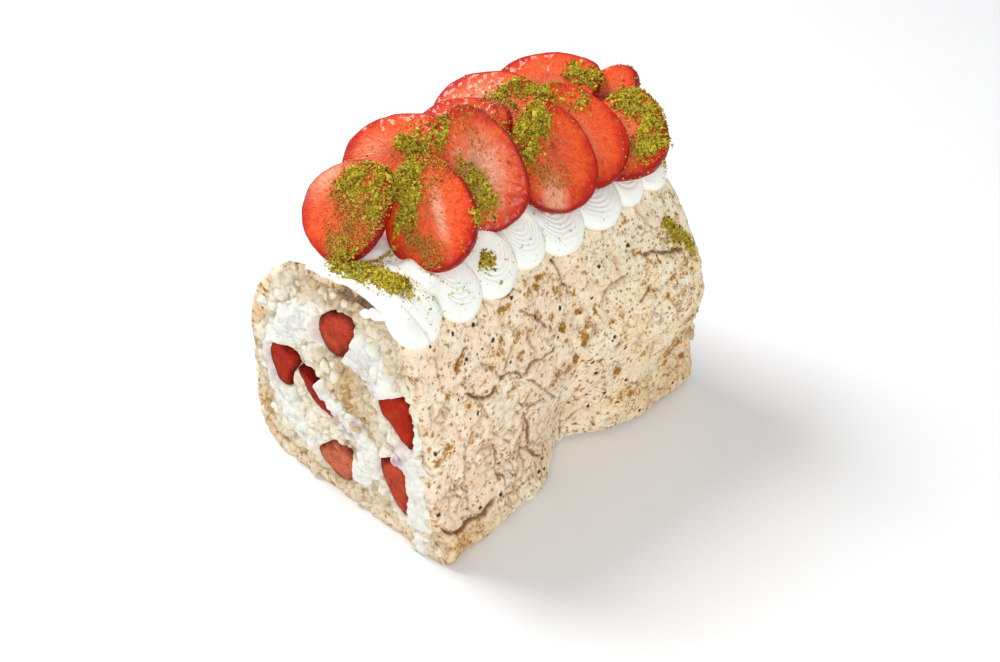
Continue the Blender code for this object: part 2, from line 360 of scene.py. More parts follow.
class Graph:
    """Short ways to write a shader's nodes; a socket given as an input is linked, anything else is set."""

    def __init__(self, tree: bpy.types.NodeTree) -> None:
        """Keeps the tree that nodes are added to."""
        self.tree = tree

    def node(self, kind: str, inputs: dict | None = None, **settings: object) -> bpy.types.Node:
        """Adds a node.

        Args:
            kind: the node's type without ShaderNode.
            inputs: values or sockets by input name or number.
            settings: the node's own properties.

        Returns:
            The node.
        """
        node = self.tree.nodes.new("ShaderNode" + kind)
        for key, value in settings.items():
            setattr(node, key, value)
        for key, value in (inputs or {}).items():
            if isinstance(value, bpy.types.NodeSocket):
                self.tree.links.new(value, node.inputs[key])
            else:
                node.inputs[key].default_value = value
        return node

    def math(self, operation: str, a: object, b: object = 0.0, clamp: bool = False) -> bpy.types.NodeSocket:
        """One arithmetic step."""
        return self.node("Math", {0: a, 1: b}, operation=operation, use_clamp=clamp).outputs[0]

    def steps(self, value: object, low: float, high: float, top: float = 1.0) -> bpy.types.NodeSocket:
        """Smooth rise from 0 at low to top at high."""
        inputs = {"Value": value, "From Min": low, "From Max": high, "To Max": top}
        return self.node("MapRange", inputs, interpolation_type="SMOOTHSTEP").outputs[0]

    def mix(self, share: object, a: object, b: object, blend: str = "MIX") -> bpy.types.NodeSocket:
        """Blends two colours; three numbers count as a colour."""
        a, b = ((*c, 1.0) if isinstance(c, tuple) and len(c) == 3 else c for c in (a, b))
        return self.node("Mix", {0: share, 6: a, 7: b}, data_type="RGBA", blend_type=blend).outputs[2]

    def value(self, name: str) -> bpy.types.NodeSocket:
        """A value kept on the mesh's points."""
        return self.node("Attribute", attribute_name=name).outputs["Fac"]

    def place(self) -> bpy.types.NodeSocket:
        """Object coordinates."""
        return self.node("TexCoord").outputs["Object"]

    def noise(self, size: float, detail: float = 2.0, vector: object = None, rough: float = 0.5) -> bpy.types.NodeSocket:
        """Noise from 0 to 1 with features of size mm."""
        inputs = {"Vector": vector or self.place(), "Scale": 1.0 / (size * MM), "Detail": detail, "Roughness": rough}
        return self.node("TexNoise", inputs).outputs["Fac"]

    def group(self, tree: bpy.types.NodeTree, **inputs: object) -> bpy.types.Node:
        """Places a node group with its own values."""
        node = self.node("Group", node_tree=tree)
        for key, value in inputs.items():
            socket = node.inputs[key.replace("_", " ").capitalize()]
            if isinstance(value, bpy.types.NodeSocket):
                self.tree.links.new(value, socket)
            else:
                socket.default_value = value
        return node


def new_group(name: str, inputs: dict, outputs: tuple) -> tuple[bpy.types.NodeTree, Graph, bpy.types.Node, bpy.types.Node]:
    """Starts a shader node group with float inputs (name: default) and float outputs."""
    tree = bpy.data.node_groups.new(name, "ShaderNodeTree")
    for key, value in inputs.items():
        tree.interface.new_socket(key, in_out="INPUT", socket_type="NodeSocketFloat").default_value = value
    for key in outputs:
        tree.interface.new_socket(key, in_out="OUTPUT", socket_type="NodeSocketFloat")
    return tree, Graph(tree), tree.nodes.new("NodeGroupInput"), tree.nodes.new("NodeGroupOutput")


def speckle_group() -> bpy.types.NodeTree:
    """Scattered dots: 1 within Radius of some of the sites of a 3-D cell pattern. Size, Radius and Share set them."""
    tree, g, ins, outs = new_group("speckles", {"Size": 2.0, "Radius": 0.3, "Share": 0.3, "Shift": 0.0}, ("Mask",))
    shift = g.node("CombineXYZ", {0: ins.outputs["Shift"], 1: ins.outputs["Shift"], 2: 0.0}).outputs[0]
    place = g.node("VectorMath", {0: g.place(), 1: shift}, operation="ADD").outputs[0]
    wobble = g.node("TexNoise", {"Vector": place, "Scale": 900.0, "Detail": 1.0}).outputs["Color"]
    bent = g.node("VectorMath", {0: wobble, 1: (0.0011, 0.0011, 0.0011), 2: place}, operation="MULTIPLY_ADD").outputs[0]
    scale = g.math("DIVIDE", 1.0 / MM, ins.outputs["Size"])
    spots = g.node("TexVoronoi", {"Vector": bent, "Scale": scale})
    gap = g.math("MULTIPLY", spots.outputs["Distance"], ins.outputs["Size"])
    chance = g.node("SeparateColor", {0: spots.outputs["Color"]})
    chosen = g.math("LESS_THAN", chance.outputs[0], ins.outputs["Share"])
    varied = g.math("MULTIPLY", ins.outputs["Radius"], g.math("ADD", chance.outputs[1], 0.5))
    near = g.math("SUBTRACT", 1.0, g.math("DIVIDE", gap, varied), clamp=True)
    mask = g.math("MULTIPLY", g.steps(near, 0.0, 0.5), chosen)
    tree.links.new(mask, outs.inputs["Mask"])
    return tree


def hairline_group() -> bpy.types.NodeTree:
    """Hairline cracks: 1 along the borders of warped cells Size mm wide, where a broad noise lets them show."""
    tree, g, ins, outs = new_group("hairlines", {"Size": 7.0, "Width": 0.16}, ("Mask",))
    wobble = g.node("TexNoise", {"Vector": g.place(), "Scale": 260.0, "Detail": 4.0}).outputs["Color"]
    bent = g.node("VectorMath", {0: wobble, 1: (0.006, 0.006, 0.006), 2: g.place()}, operation="MULTIPLY_ADD").outputs[0]
    scale = g.math("DIVIDE", 1.0 / MM, ins.outputs["Size"])
    edge = g.node("TexVoronoi", {"Vector": bent, "Scale": scale}, feature="DISTANCE_TO_EDGE").outputs["Distance"]
    gap = g.math("DIVIDE", g.math("MULTIPLY", edge, ins.outputs["Size"]), ins.outputs["Width"])
    line = g.steps(gap, 1.0, 0.3)
    tree.links.new(g.math("MULTIPLY", line, g.steps(g.noise(9.0, 2.0), 0.5, 0.64)), outs.inputs["Mask"])
    return tree


def grain_group() -> bpy.types.NodeTree:
    """Fine dry grain of baked meringue: two sizes of noise summed as a height from 0 to 1."""
    tree, g, ins, outs = new_group("grain", {"Coarse": 1.4, "Fine": 0.45}, ("Height",))
    heights = []
    for key, detail in (("Coarse", 3.0), ("Fine", 2.0)):
        scale = g.math("DIVIDE", 1.0 / MM, ins.outputs[key])
        heights.append(g.node("TexNoise", {"Vector": g.place(), "Scale": scale, "Detail": detail}).outputs["Fac"])
    tree.links.new(g.math("ADD", g.math("MULTIPLY", heights[0], 0.6), g.math("MULTIPLY", heights[1], 0.4)), outs.inputs["Height"])
    return tree


def start_material(name: str, **settings: object) -> tuple[bpy.types.Material, Graph, bpy.types.Node]:
    """A material with one Principled shader.

    Args:
        name: the material's name.
        settings: shader inputs by name with _ for spaces.

    Returns:
        The material, its graph and the shader.
    """
    material = bpy.data.materials.new(name)
    material.use_nodes = True
    shader = material.node_tree.nodes["Principled BSDF"]
    for key, value in settings.items():
        shader.inputs[key.replace("_", " ")].default_value = value
    return material, Graph(material.node_tree), shader


def set_bump(g: Graph, shader: bpy.types.Node, height: object, depth: float, strength: float = 1.0) -> None:
    """Feeds a height from 0 to 1, worth depth mm, to the shader's normal."""
    bump = g.node("Bump", {"Height": height, "Distance": depth * MM, "Strength": strength})
    g.tree.links.new(bump.outputs[0], shader.inputs["Normal"])


@dataclass(frozen=True)
class CrustFinish:
    """Baked meringue skin: pinkish beige to straw, ochre stains, brown cracks and dark dots; painted shade in the
    cracks, pits and creases, under the cream's edge and on the left and low far flank.
    """

    rosy: Colour = (0.93, 0.735, 0.53)
    straw: Colour = (0.93, 0.77, 0.49)
    pale: Colour = (0.97, 0.90, 0.73)
    ochre: Colour = (0.37, 0.17, 0.018)
    toffee: Colour = (0.70, 0.38, 0.12)
    # dark brown in cracks, pits and creases: partly browned crust, partly painted shade in the hollows
    crevice: Colour = (0.19, 0.08, 0.02)
    dots: Colour = (0.07, 0.032, 0.01)
    rust: Colour = (0.45, 0.21, 0.08)
    umber: Colour = (0.32, 0.14, 0.025)

    def material(self, groups: dict) -> bpy.types.Material:
        """Makes the material; reads stain, crack, tone, light and bake from the mesh."""
        made, g, shader = start_material("baked_crust", Roughness=0.8, Specular_IOR_Level=0.2)
        base = g.mix(g.value("tone"), self.rosy, self.straw)
        base = g.mix(g.value("light"), base, self.pale)
        mottle = g.steps(g.noise(2.6, 4.0), 0.4, 0.65)
        base = g.mix(g.math("MULTIPLY", mottle, 0.5), base, self.pale)
        blush = g.steps(g.noise(1.9, 4.0, rough=0.6), 0.5, 0.72)
        base = g.mix(g.math("MULTIPLY", blush, 0.3), base, self.toffee)
        # toffee where the crust is browned, and as painted shade on the left flank and the low far flank
        base = g.mix(g.value("bake_and_shade"), base, self.toffee)
        stain = g.value("stain")
        speck = g.math("ADD", g.noise(2.4, 4.0, rough=0.62), g.math("MULTIPLY", stain, 0.33))
        base = g.mix(g.steps(speck, 0.58, 0.76, 0.8), base, self.toffee)
        base = g.mix(g.steps(speck, 0.69, 0.82, 0.95), base, self.ochre)
        grit = g.math("ADD", g.noise(0.9, 3.0, rough=0.65), g.math("MULTIPLY", stain, 0.22))
        base = g.mix(g.steps(grit, 0.66, 0.76, 0.95), base, self.umber)
        freckles = g.group(groups["speckles"], size=1.9, radius=0.8, share=0.36).outputs[0]
        base = g.mix(g.math("MULTIPLY", freckles, 0.8), base, self.ochre)
        hair = g.group(groups["hairlines"])
        base = g.mix(g.math("MULTIPLY", hair.outputs[0], 0.6), base, self.rust)
        # crevice brown by the crack value: partly browned crust, partly painted shade; painted shadow under the cream's
        # edge at the ends
        base = g.mix(g.value("crack_and_shade"), base, self.crevice)
        dots = g.group(groups["speckles"], size=3.4, radius=0.95, share=0.15, shift=0.7).outputs[0]
        base = g.mix(dots, base, self.dots)
        g.tree.links.new(base, shader.inputs["Base Color"])
        height = g.math("SUBTRACT", g.group(groups["grain"]).outputs[0], g.math("MULTIPLY", hair.outputs[0], 0.5))
        set_bump(g, shader, height, 0.5, 0.8)
        return made


@dataclass(frozen=True)
class CrumbFinish:
    """Torn inside of the meringue: white foam, beige crumb and browned bits, with painted shade in its hollows and
    under the cream's edge.
    """

    foam: Colour = (0.88, 0.84, 0.69)
    beige: Colour = (0.69, 0.53, 0.31)
    brown: Colour = (0.52, 0.28, 0.09)
    # painted shade for hollows, bubbles and the gap under the cream's edge
    shade: Colour = (0.30, 0.17, 0.06)

    def material(self, groups: dict) -> bpy.types.Material:
        """Makes the material; reads beige, brown and pit from the mesh."""
        made, g, shader = start_material("meringue_crumb", Roughness=0.8, Specular_IOR_Level=0.2)
        base = g.mix(g.value("beige"), self.foam, self.beige)
        base = g.mix(g.value("brown"), base, self.brown)
        # Painted shade mixed in by the pit value.
        base = g.mix(g.value("pit"), base, self.shade)
        freckles = g.group(groups["speckles"], size=2.2, radius=0.4, share=0.2).outputs[0]
        base = g.mix(g.math("MULTIPLY", freckles, 0.6), base, self.brown)
        g.tree.links.new(base, shader.inputs["Base Color"])
        set_bump(g, shader, g.group(groups["grain"], coarse=1.0, fine=0.4).outputs[0], 0.5, 0.8)
        return made


@dataclass(frozen=True)
class CreamFinish:
    """Whipped cream: warm white, faintly glossy, light goes into it a little; pink where berries bleed; violet where
    juice stains it, deepened as painted shade in its gaps and hollows.
    """

    white: Colour = (0.955, 0.985, 0.90)
    pink: Colour = (0.86, 0.50, 0.47)
    # violet: juice stains, and painted shade in the cut cream's gaps and hollows
    violet: Colour = (0.42, 0.20, 0.28)

    def material(self, name: str) -> bpy.types.Material:
        """Makes the material; reads bleed and violet from the mesh."""
        made, g, shader = start_material(name, Roughness=0.42, Specular_IOR_Level=0.35)
        shader.inputs["Subsurface Weight"].default_value = 0.15
        shader.inputs["Subsurface Radius"].default_value = (1.0, 0.9, 0.7)
        shader.inputs["Subsurface Scale"].default_value = 0.0010
        base = g.mix(g.value("bleed"), self.white, self.pink)
        base = g.mix(g.value("violet"), base, self.violet)
        g.tree.links.new(base, shader.inputs["Base Color"])
        set_bump(g, shader, g.noise(1.1, 3.0), 0.25, 0.5)
        return made


@dataclass(frozen=True)
class FleshFinish:
    """Cut strawberry: pale streaked core, red-orange flesh with fibres running outwards, dark wet skin."""

    name: str = "cut_strawberry"
    core: Colour = (0.88, 0.40, 0.24)
    flesh: Colour = (0.88, 0.085, 0.010)
    deep: Colour = (0.55, 0.014, 0.004)
    skin: Colour = (0.34, 0.006, 0.005)
    fibre: Colour = (0.93, 0.20, 0.07)
    ripe: Colour = (0.92, 0.115, 0.012)
    rough: float = 0.36
    shine: float = 0.13
    coat: float = 0.5

    def material(self) -> bpy.types.Material:
        """Makes the material; reads across, up (-1 to 1 on the cut face), skin and pale from the mesh."""
        made, g, shader = start_material(self.name, Roughness=self.rough, Specular_IOR_Level=self.shine)
        shader.inputs["Coat Roughness"].default_value = 0.09
        shader.inputs["Subsurface Weight"].default_value = 0.08
        shader.inputs["Subsurface Radius"].default_value = (1.0, 0.2, 0.1)
        shader.inputs["Subsurface Scale"].default_value = 0.0015
        flat = g.node("CombineXYZ", {0: g.value("across"), 1: g.value("up"), 2: 0.0}).outputs[0]
        way = g.node("VectorMath", {0: flat}, operation="NORMALIZE").outputs[0]
        out = g.node("VectorMath", {0: flat}, operation="LENGTH").outputs["Value"]
        rays = g.node("VectorMath", {0: way, "Scale": 15.0}, operation="SCALE").outputs[0]
        level = g.node("CombineXYZ", {0: 0.0, 1: 0.0, 2: g.math("MULTIPLY", out, 7.0)}).outputs[0]
        lines = g.node("VectorMath", {0: rays, 1: level}, operation="ADD").outputs[0]
        streak = g.node("TexNoise", {"Vector": lines, "Scale": 1.0, "Detail": 3.0, "Roughness": 0.65}).outputs["Fac"]
        wander = g.math("ADD", out, g.math("MULTIPLY", g.math("SUBTRACT", g.noise(7.0, 3.0), 0.5), 0.55))
        base = g.mix(g.steps(g.noise(6.0, 3.0), 0.45, 0.7, 0.7), self.flesh, self.ripe)
        base = g.mix(g.steps(wander, 0.66, 1.02), base, self.deep)
        smear = g.steps(g.math("ADD", streak, g.noise(3.0, 3.0)), 0.6, 1.1)
        base = g.mix(g.math("MULTIPLY", g.math("ADD", smear, 0.5), g.value("pale"), clamp=True), base, self.core)
        fibres = g.math("MULTIPLY", g.steps(streak, 0.5, 0.72), g.steps(wander, 0.98, 0.45))
        base = g.mix(g.math("MULTIPLY", fibres, 0.6), base, self.fibre)
        dusk = g.math("MAXIMUM", g.steps(streak, 0.5, 0.3), g.steps(g.noise(4.0, 3.0), 0.55, 0.75))
        base = g.mix(g.math("MULTIPLY", dusk, 0.6), base, self.deep)
        base = g.mix(g.value("skin"), base, self.skin)
        g.tree.links.new(base, shader.inputs["Base Color"])
        g.tree.links.new(g.steps(g.noise(2.2, 3.0), 0.5, 0.62, self.coat), shader.inputs["Coat Weight"])
        set_bump(g, shader, g.math("ADD", streak, g.math("MULTIPLY", g.noise(0.8, 2.0), 0.8)), 0.8, 0.9)
        return made


@dataclass(frozen=True)
class BitFinish:
    """Loose bits, each a blend of two colours by its own number."""

    name: str
    light: Colour
    dark: Colour
    odd: Colour
    rough: float = 0.75

    def material(self) -> bpy.types.Material:
        """Makes the material; reads pick, 0 to 1 per bit, from the mesh."""
        made, g, shader = start_material(self.name, Roughness=self.rough, Specular_IOR_Level=0.12)
        pick = g.value("pick")
        base = g.mix(g.steps(pick, 0.0, 0.85), self.light, self.dark)
        base = g.mix(g.steps(pick, 0.86, 0.88), base, self.odd)
        grain = g.steps(g.noise(0.35, 1.0), 0.3, 0.7)
        base = g.mix(g.math("MULTIPLY", grain, 0.35), base, self.dark)
        g.tree.links.new(base, shader.inputs["Base Color"])
        return made


def dress(piece: bpy.types.Object, material: bpy.types.Material, slot: str, *nodes: str) -> bpy.types.Object:
    """Gives a piece its finish and its place in the frame, hides the CAD parts it stands in for, and reports it."""
    piece.data.materials.append(material)
    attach(piece, "root")
    if nodes:
        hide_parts(*nodes)
    LOG.info("%s: %d points, %d faces", piece.name, len(piece.data.vertices), len(piece.data.polygons))
    return piece


# ---------------------------------------------------------------- the roll


@dataclass
class RollShape:
    """The roll's section and how it swells and sinks along its length, as in the CAD."""

    section: tuple = (
        (50, 0), (56.5, 2), (56, 9), (52, 21), (49.5, 36), (50, 54), (47, 70), (43.5, 84), (38.5, 98), (28, 108.5), (12, 111.5),
        (-4, 110.5), (-18, 109), (-29, 104.5), (-38.5, 93), (-46, 80), (-51.5, 67), (-53.5, 54), (-53, 36), (-54.5, 20),
        (-51, 7), (-42, 0),
    )
    half_length: float = 78.0
    waist: tuple = (5.0, 17.0, 11.0, 34.0)
    swell: tuple = (11.5, -13.0, 70.0, 56.0, 36.0)
    swell_left: float = 0.6
    far_sink: float = 5.0
    height: float = 110.0

    def __post_init__(self) -> None:
        """Measures the section: points, outward normals and arc lengths, the flat underside included."""
        skin = curve_through(self.section, 900, False)
        skin[:, 1] = np.maximum(skin[:, 1], 0.0)
        base = np.linspace(skin[-1], skin[0], 90)[1:-1]
        self.line = np.vstack([skin, base])
        after = np.vstack([self.line, self.line[:1]])
        self.arcs = np.concatenate([[0.0], np.cumsum(np.linalg.norm(np.diff(after, axis=0), axis=1))])
        self.skin_end = self.arcs[len(skin) - 1]
        self.around = self.arcs[-1]
        step = np.roll(self.line, -3, 0) - np.roll(self.line, 3, 0)
        normal = np.column_stack([step[:, 1], -step[:, 0]])
        self.out = normal / np.linalg.norm(normal, axis=1)[:, None]

    def outline(self, arc: Array) -> tuple[Array, Array]:
        """Section points and outward normals at arcs, which may run past either end onto the underside."""
        a = np.mod(arc, self.around)
        wrap = [np.append(v, v[0]) for v in (self.line[:, 0], self.line[:, 1], self.out[:, 0], self.out[:, 1])]
        x, z, nx, nz = (np.interp(a, self.arcs, v) for v in wrap)
        return np.stack([x, z], -1), np.stack([nx, nz], -1)

    def bend(self, points: Array) -> Array:
        """The waist, the swell and the sinking far end, as the CAD shapes them.

        Both are bells of height times steps along the length; x moves by them times (|x| / 50)^2.
        """
        x, y, z = points[..., 0].copy(), points[..., 1], points[..., 2].copy()
        w_at, w_reach, w_depth, w_height = self.waist
        s_depth, s_from, s_to, s_height, s_spread = self.swell
        waist = w_depth * bell(y - w_at, w_reach) * bell(z, w_height)
        swell = s_depth * smooth_step(y, s_from, s_to) * bell(z - s_height, s_spread)
        swell = swell * np.where(x < 0, self.swell_left, 1.0)
        reach = np.clip(np.abs(x) / 50.0, 0.0, 1.2) ** 2
        x = x + np.sign(x) * reach * (swell - waist)
        z = z * (1.0 - self.far_sink / self.height * smooth_step(y, -20.0, self.half_length))
        return np.stack([x, y, z], -1)

    def surface(self, arc: Array, along: Array, lift: Array) -> Array:
        """Places on the skin: section point plus lift times its normal, carried along and bent."""
        place, out = self.outline(arc)
        x = place[..., 0] + out[..., 0] * lift
        z = np.maximum(place[..., 1] + out[..., 1] * lift, 0.0)
        return self.bend(np.stack(np.broadcast_arrays(x, along, z), -1))


class Side(Enum):
    """Which half of the crust: its first and last arc and its cell size in mm."""

    RIGHT = (-46.0, 132.0, 0.52)
    LEFT = (132.0, 340.0, 0.72)


@dataclass
class Crust:
    """The baked skin: undulating, broken into plates with open cracks, pitted, stained."""

    roll: RollShape
    finish: CrustFinish
    inset: float = 0.7
    wall: float = 5.0
    inner_columns: int = 14
    fissures: tuple = (
        # points (arc, along), width, depth, darkness, step of one side
        (((106, 0), (100, 3), (93, 4), (87, 7)), 0.9, 2.6, 0.9, 0.5),
        (((80, 20), (83, 24), (84, 30), (85, 36)), 1.6, 1.6, 0.45, -0.6),
        (((89, 44), (89, 51), (86, 59), (84, 68)), 1.2, 2.2, 0.6, 1.0),
        (((76, -57), (72, -52), (69, -47), (69, -42), (72, -39)), 1.1, 2.8, 0.9, 0.7),
        (((72, -39), (73, -35), (71, -30), (66, -26)), 0.7, 1.8, 0.7, 0.5),
        (((66, -26), (70, -20), (68, -12), (70, -6)), 0.6, 1.4, 0.55, 0.3),
        (((71, -51), (65, -51), (62, -54), (59, -58), (52, -60), (40, -60), (32, -62), (27, -68)), 1.1, 2.6, 0.85, 1.1),
        (((34, -63), (36, -68), (35, -74), (31, -76)), 1.0, 2.4, 0.9, 0.9),
        (((46, -46), (40, -43), (30, -44), (26, -41), (20, -40)), 0.9, 2.2, 0.7, 0.9),
        (((48, -26), (40, -23), (30, -24), (24, -22), (18, -16)), 0.9, 2.2, 0.7, -0.9),
        (((66, -26), (60, -19), (50, -12), (39, -3)), 0.7, 1.5, 0.5, -0.4),
        (((8, 5), (20, 5), (28, 6), (34, 9), (40, 12)), 0.9, 1.8, 0.6, -0.8),
        (((25, -76), (20, -73), (18, -69), (18, -62), (17, -55), (20, -46)), 1.2, 3.0, 0.95, 1.3),
        (((95, -22), (87, -15), (79, -8)), 0.6, 1.3, 0.5, 0.2),
        (((87, -59), (91, -55), (93, -49)), 0.5, 1.1, 0.6, 0.2),
        (((105, -33), (102, -27), (103, -22)), 0.6, 1.2, 0.5, 0.3),
        (((72, 37), (75, 42), (78, 45)), 0.5, 1.0, 0.5, 0.3),
    )
    stains: tuple = (
        # arc, along, radius across and along, strength
        (98, -30, 2.6, 3.4, 0.9), (101, -8, 2.6, 3.8, 0.9), (93, -6, 1.3, 1.6, 1.0), (76, -1, 2.8, 2.6, 1.0),
        (79, 9, 2.2, 3.0, 0.9), (66, 9, 4.2, 1.8, 1.0), (58, 4, 3.5, 1.8, 1.0), (54, 11, 2.0, 2.4, 0.8),
        (76, -25, 2.6, 2.8, 0.95), (83, -26, 1.8, 2.2, 0.8), (87, -34, 2.0, 2.4, 0.8), (89, -56, 1.6, 2.2, 0.9),
        (79, -41, 1.6, 2.0, 0.9), (72, -46, 1.6, 1.8, 0.9), (57, -7, 2.4, 2.2, 0.9), (49, 3, 3.2, 1.7, 0.9),
        (39, 28, 4.2, 2.4, 1.0), (65, -31, 2.0, 2.0, 0.7), (25, 70, 3.0, 2.6, 0.8), (29, 57, 2.4, 2.2, 0.7),
        (22, 46, 3.0, 1.8, 0.6), (32, -42, 4.4, 1.4, 0.6), (21, -40, 3.0, 1.5, 0.6), (39, -25, 2.2, 1.8, 0.7),
        (29, -25, 2.4, 1.6, 0.6), (92, 42, 2.0, 2.4, 0.6), (64, 62, 3.0, 2.0, 0.55), (80, 66, 2.6, 1.8, 0.55),
        (14, -70, 6.0, 5.0, 0.55), (36, 62, 7.0, 12.0, 0.7), (24, 34, 6.0, 10.0, 0.6), (48, 72, 6.0, 6.0, 0.7),
    )

    def relief(self, arc: Array, along: Array) -> dict:
        """Height of the skin over the CAD's in mm, and what the finish reads.

        Height = undulation + domed plates with their own level and tilt - cracks + raised lips - pits.

        Args:
            arc: way round the section.
            along: way along the roll.

        Returns:
            lift, crack, stain, tone, light and bake, each like arc.
        """
        flat = np.stack(np.broadcast_arrays(arc, along), -1).astype(float)
        bendy = np.stack([noise(flat, 11.0, 3, 3), noise(flat, 11.0, 4, 3)], -1)
        fine = np.stack([noise(flat, 2.6, 5, 2), noise(flat, 2.6, 6, 2)], -1)
        warped = flat + 4.5 * bendy + 0.7 * fine
        big = cells(warped, 16.0, 20)
        small = cells(warped + 40.0, 6.2, 30)
        tiny = cells(flat + 0.5 * fine, 2.7, 40)
        lift = 1.1 * noise(flat, 27.0, 50) + 0.65 * noise(flat, 11.0, 51, 2) + 0.2 * noise(flat, 3.4, 52, 2)
        lift -= 1.1 * bell(along - 6.0 - 4.0 * bendy[..., 1], 5.0) * smooth_step(arc, 2.0, 20.0) * smooth_step(arc, 122.0, 100.0)
        lift += 1.8 * smooth_step(along, 36.0, 68.0) * bell(arc - 84.0, 16.0)
        lift -= 3.4 * smooth_step(along, -48.0, -76.0) * bell(arc - 181.0, 13.0)
        lift += 0.1 * noise(flat, 1.3, 53, 2)
        folds = np.abs(noise(warped, 5.5, 54, 2))
        creased = smooth_step(noise(flat, 13.0, 55), -0.5, 0.4)
        lift -= 0.3 * creased * bell(folds, 0.05)

        open_big = smooth_step(noise(flat, 13.0, 60, 2), -0.15, 0.55)
        dome = 1.0 - np.exp(-big.edge / 1.9)
        turn = 2.0 * math.pi * big.number
        tilt = (big.offset[..., 0] * np.cos(turn) + big.offset[..., 1] * np.sin(turn)) * 0.04
        lift += 0.22 * (dome - 1.0) * open_big + 0.5 * (big.number - 0.5) + tilt
        gash = open_big * np.exp(-big.edge / 0.3)
        lift += 0.12 * open_big * bell(big.edge - 1.3, 0.8)

        scaly = bell(arc - 36.0, 28.0) * bell(along + 38.0, 30.0)
        flaky = smooth_step(noise(flat, 19.0, 61, 2) + 1.1 * scaly, -0.1, 0.55)
        open_small = flaky * smooth_step(noise(flat, 7.0, 62), -0.3, 0.5)
        lift += flaky * (1.0 + 1.2 * scaly) * (0.35 * (1.0 - np.exp(-small.edge / 1.1)) - 0.2 + 0.4 * (small.number - 0.5))
        lift += 0.9 * scaly * (1.0 - np.exp(-big.edge / 1.6)) + 0.8 * scaly * (big.number - 0.5)
        nick = open_small * np.exp(-small.edge / 0.3)

        # Dark colour in the open cracks: partly browned crust, partly painted shade.
        crack_and_shade = np.maximum((0.7 + 0.3 * scaly) * gash, (0.55 + 0.25 * scaly) * nick)
        # Painted shade along the creases.
        crack_and_shade = np.maximum(crack_and_shade, 0.45 * creased * bell(folds, 0.045))
        # Warm halo round the cracks: partly browning, partly painted warm bounce light.
        halo = 0.34 * open_big * np.exp(-big.edge / 1.3) + 0.3 * open_small * np.exp(-small.edge / 0.9)
        lift -= 0.9 * gash + 0.6 * nick
        pits = np.where(tiny.number > 0.5, bell(tiny.centre, 0.34), 0.0)
        lift -= 0.4 * pits
        # Painted shade in the pinholes.
        crack_and_shade = np.maximum(crack_and_shade, 0.5 * pits)

        for points, width, depth, dark, step in self.fissures:
            line = curve_through(points, 6 * len(points), False)
            close = near_line(flat + 0.9 * fine + 0.5 * bendy, line)
            taper = smooth_step(close.share, -0.02, 0.12) * smooth_step(close.share, 1.02, 0.88)
            wide = width * (0.2 + 0.35 * taper)
            lift -= 0.6 * depth * (0.3 + 0.7 * taper) * np.exp(-close.gap / wide)
            lift += step * 0.6 * close.side * np.exp(-close.gap / 4.0) * taper
            # Dark colour along each fissure, partly browned crust and partly painted shade, with a warm halo beside it.
            crack_and_shade = np.maximum(crack_and_shade, min(1.0, 1.7 * dark) * taper * np.exp(-((close.gap / (0.6 * wide + 0.26)) ** 2)))
            halo = np.maximum(halo, 0.5 * dark * taper * np.exp(-close.gap / 1.3))

        broken = smooth_step(arc, 26.0, 8.0) * smooth_step(along, -46.0, -62.0)
        lift += broken * (1.8 * noise(flat, 7.0, 56, 3) + 1.2 * (small.number - 0.5) + 2.0 * smooth_step(along, -62.0, -76.0))
        # Dark flake edges in the broken corner: partly browned, partly painted shade.
        crack_and_shade = np.maximum(crack_and_shade, 0.7 * broken * np.exp(-small.edge / 0.35))

        stain = np.zeros_like(lift)
        for s_arc, s_along, across, length, strength in self.stains:
            away = np.hypot((warped[..., 0] - 4.0 * bendy[..., 0] - s_arc) / across, (warped[..., 1] - 4.0 * bendy[..., 1] - s_along) / length)
            stain = np.maximum(stain, strength * (1.0 - smooth_step(away, 0.2, 1.6)))
        spots = cells(warped, 9.0, 70)
        scattered = np.where(spots.number > 0.5, 1.0 - smooth_step(spots.centre, 0.3, 2.6), 0.0)
        stain = np.maximum(stain, 0.7 * scattered)
        stain = np.maximum(stain, 0.6 * smooth_step(noise(flat, 7.0, 71, 3), 0.1, 0.7))
        stain -= 0.32 * scaly
        tone = smooth_step(along + 14.0 * noise(flat, 17.0, 72, 2), -8.0, 46.0)
        tone = np.maximum(tone, 0.8 * smooth_step(arc, 28.0, 4.0))
        light = 0.7 * smooth_step(arc, 20.0, 6.0) * smooth_step(along, -50.0, -20.0)
        light = np.maximum(light, 0.6 * smooth_step(noise(flat, 9.0, 73, 2), 0.0, 0.6))
        light = np.maximum(light, 0.6 * smooth_step(arc, 74.0, 92.0) * smooth_step(along, 14.0, 44.0))
        # Browning by the near lip's corner, in patches and in the halos round the cracks.
        bake_and_shade = 0.75 * bell(np.hypot(arc - 10.0, (along + 68.0) * 0.8), 12.0) * (0.8 + 0.5 * noise(flat, 6.0, 75, 3))
        bake_and_shade = np.maximum(bake_and_shade, 0.3 * smooth_step(noise(flat, 8.0, 74, 2), 0.45, 0.8))
        bake_and_shade = np.maximum(bake_and_shade, halo)
        # Painted shade: the left flank loses its pale patches and turns browner.
        left = smooth_step(arc, 176.0, 236.0)
        light *= 1.0 - 0.8 * left
        bake_and_shade = np.maximum(bake_and_shade, left * (0.48 + 0.3 * noise(flat, 12.0, 76, 3)))
        # Painted shade: the low far flank of the right side turns browner.
        shaded = smooth_step(arc, 46.0, 16.0) * smooth_step(along, 14.0, 58.0)
        bake_and_shade = np.maximum(bake_and_shade, shaded * (0.45 + 0.4 * noise(flat, 9.0, 77, 3)))
        return {"lift": lift, "crack_and_shade": crack_and_shade, "stain": stain, "tone": tone, "light": light, "bake_and_shade": bake_and_shade}

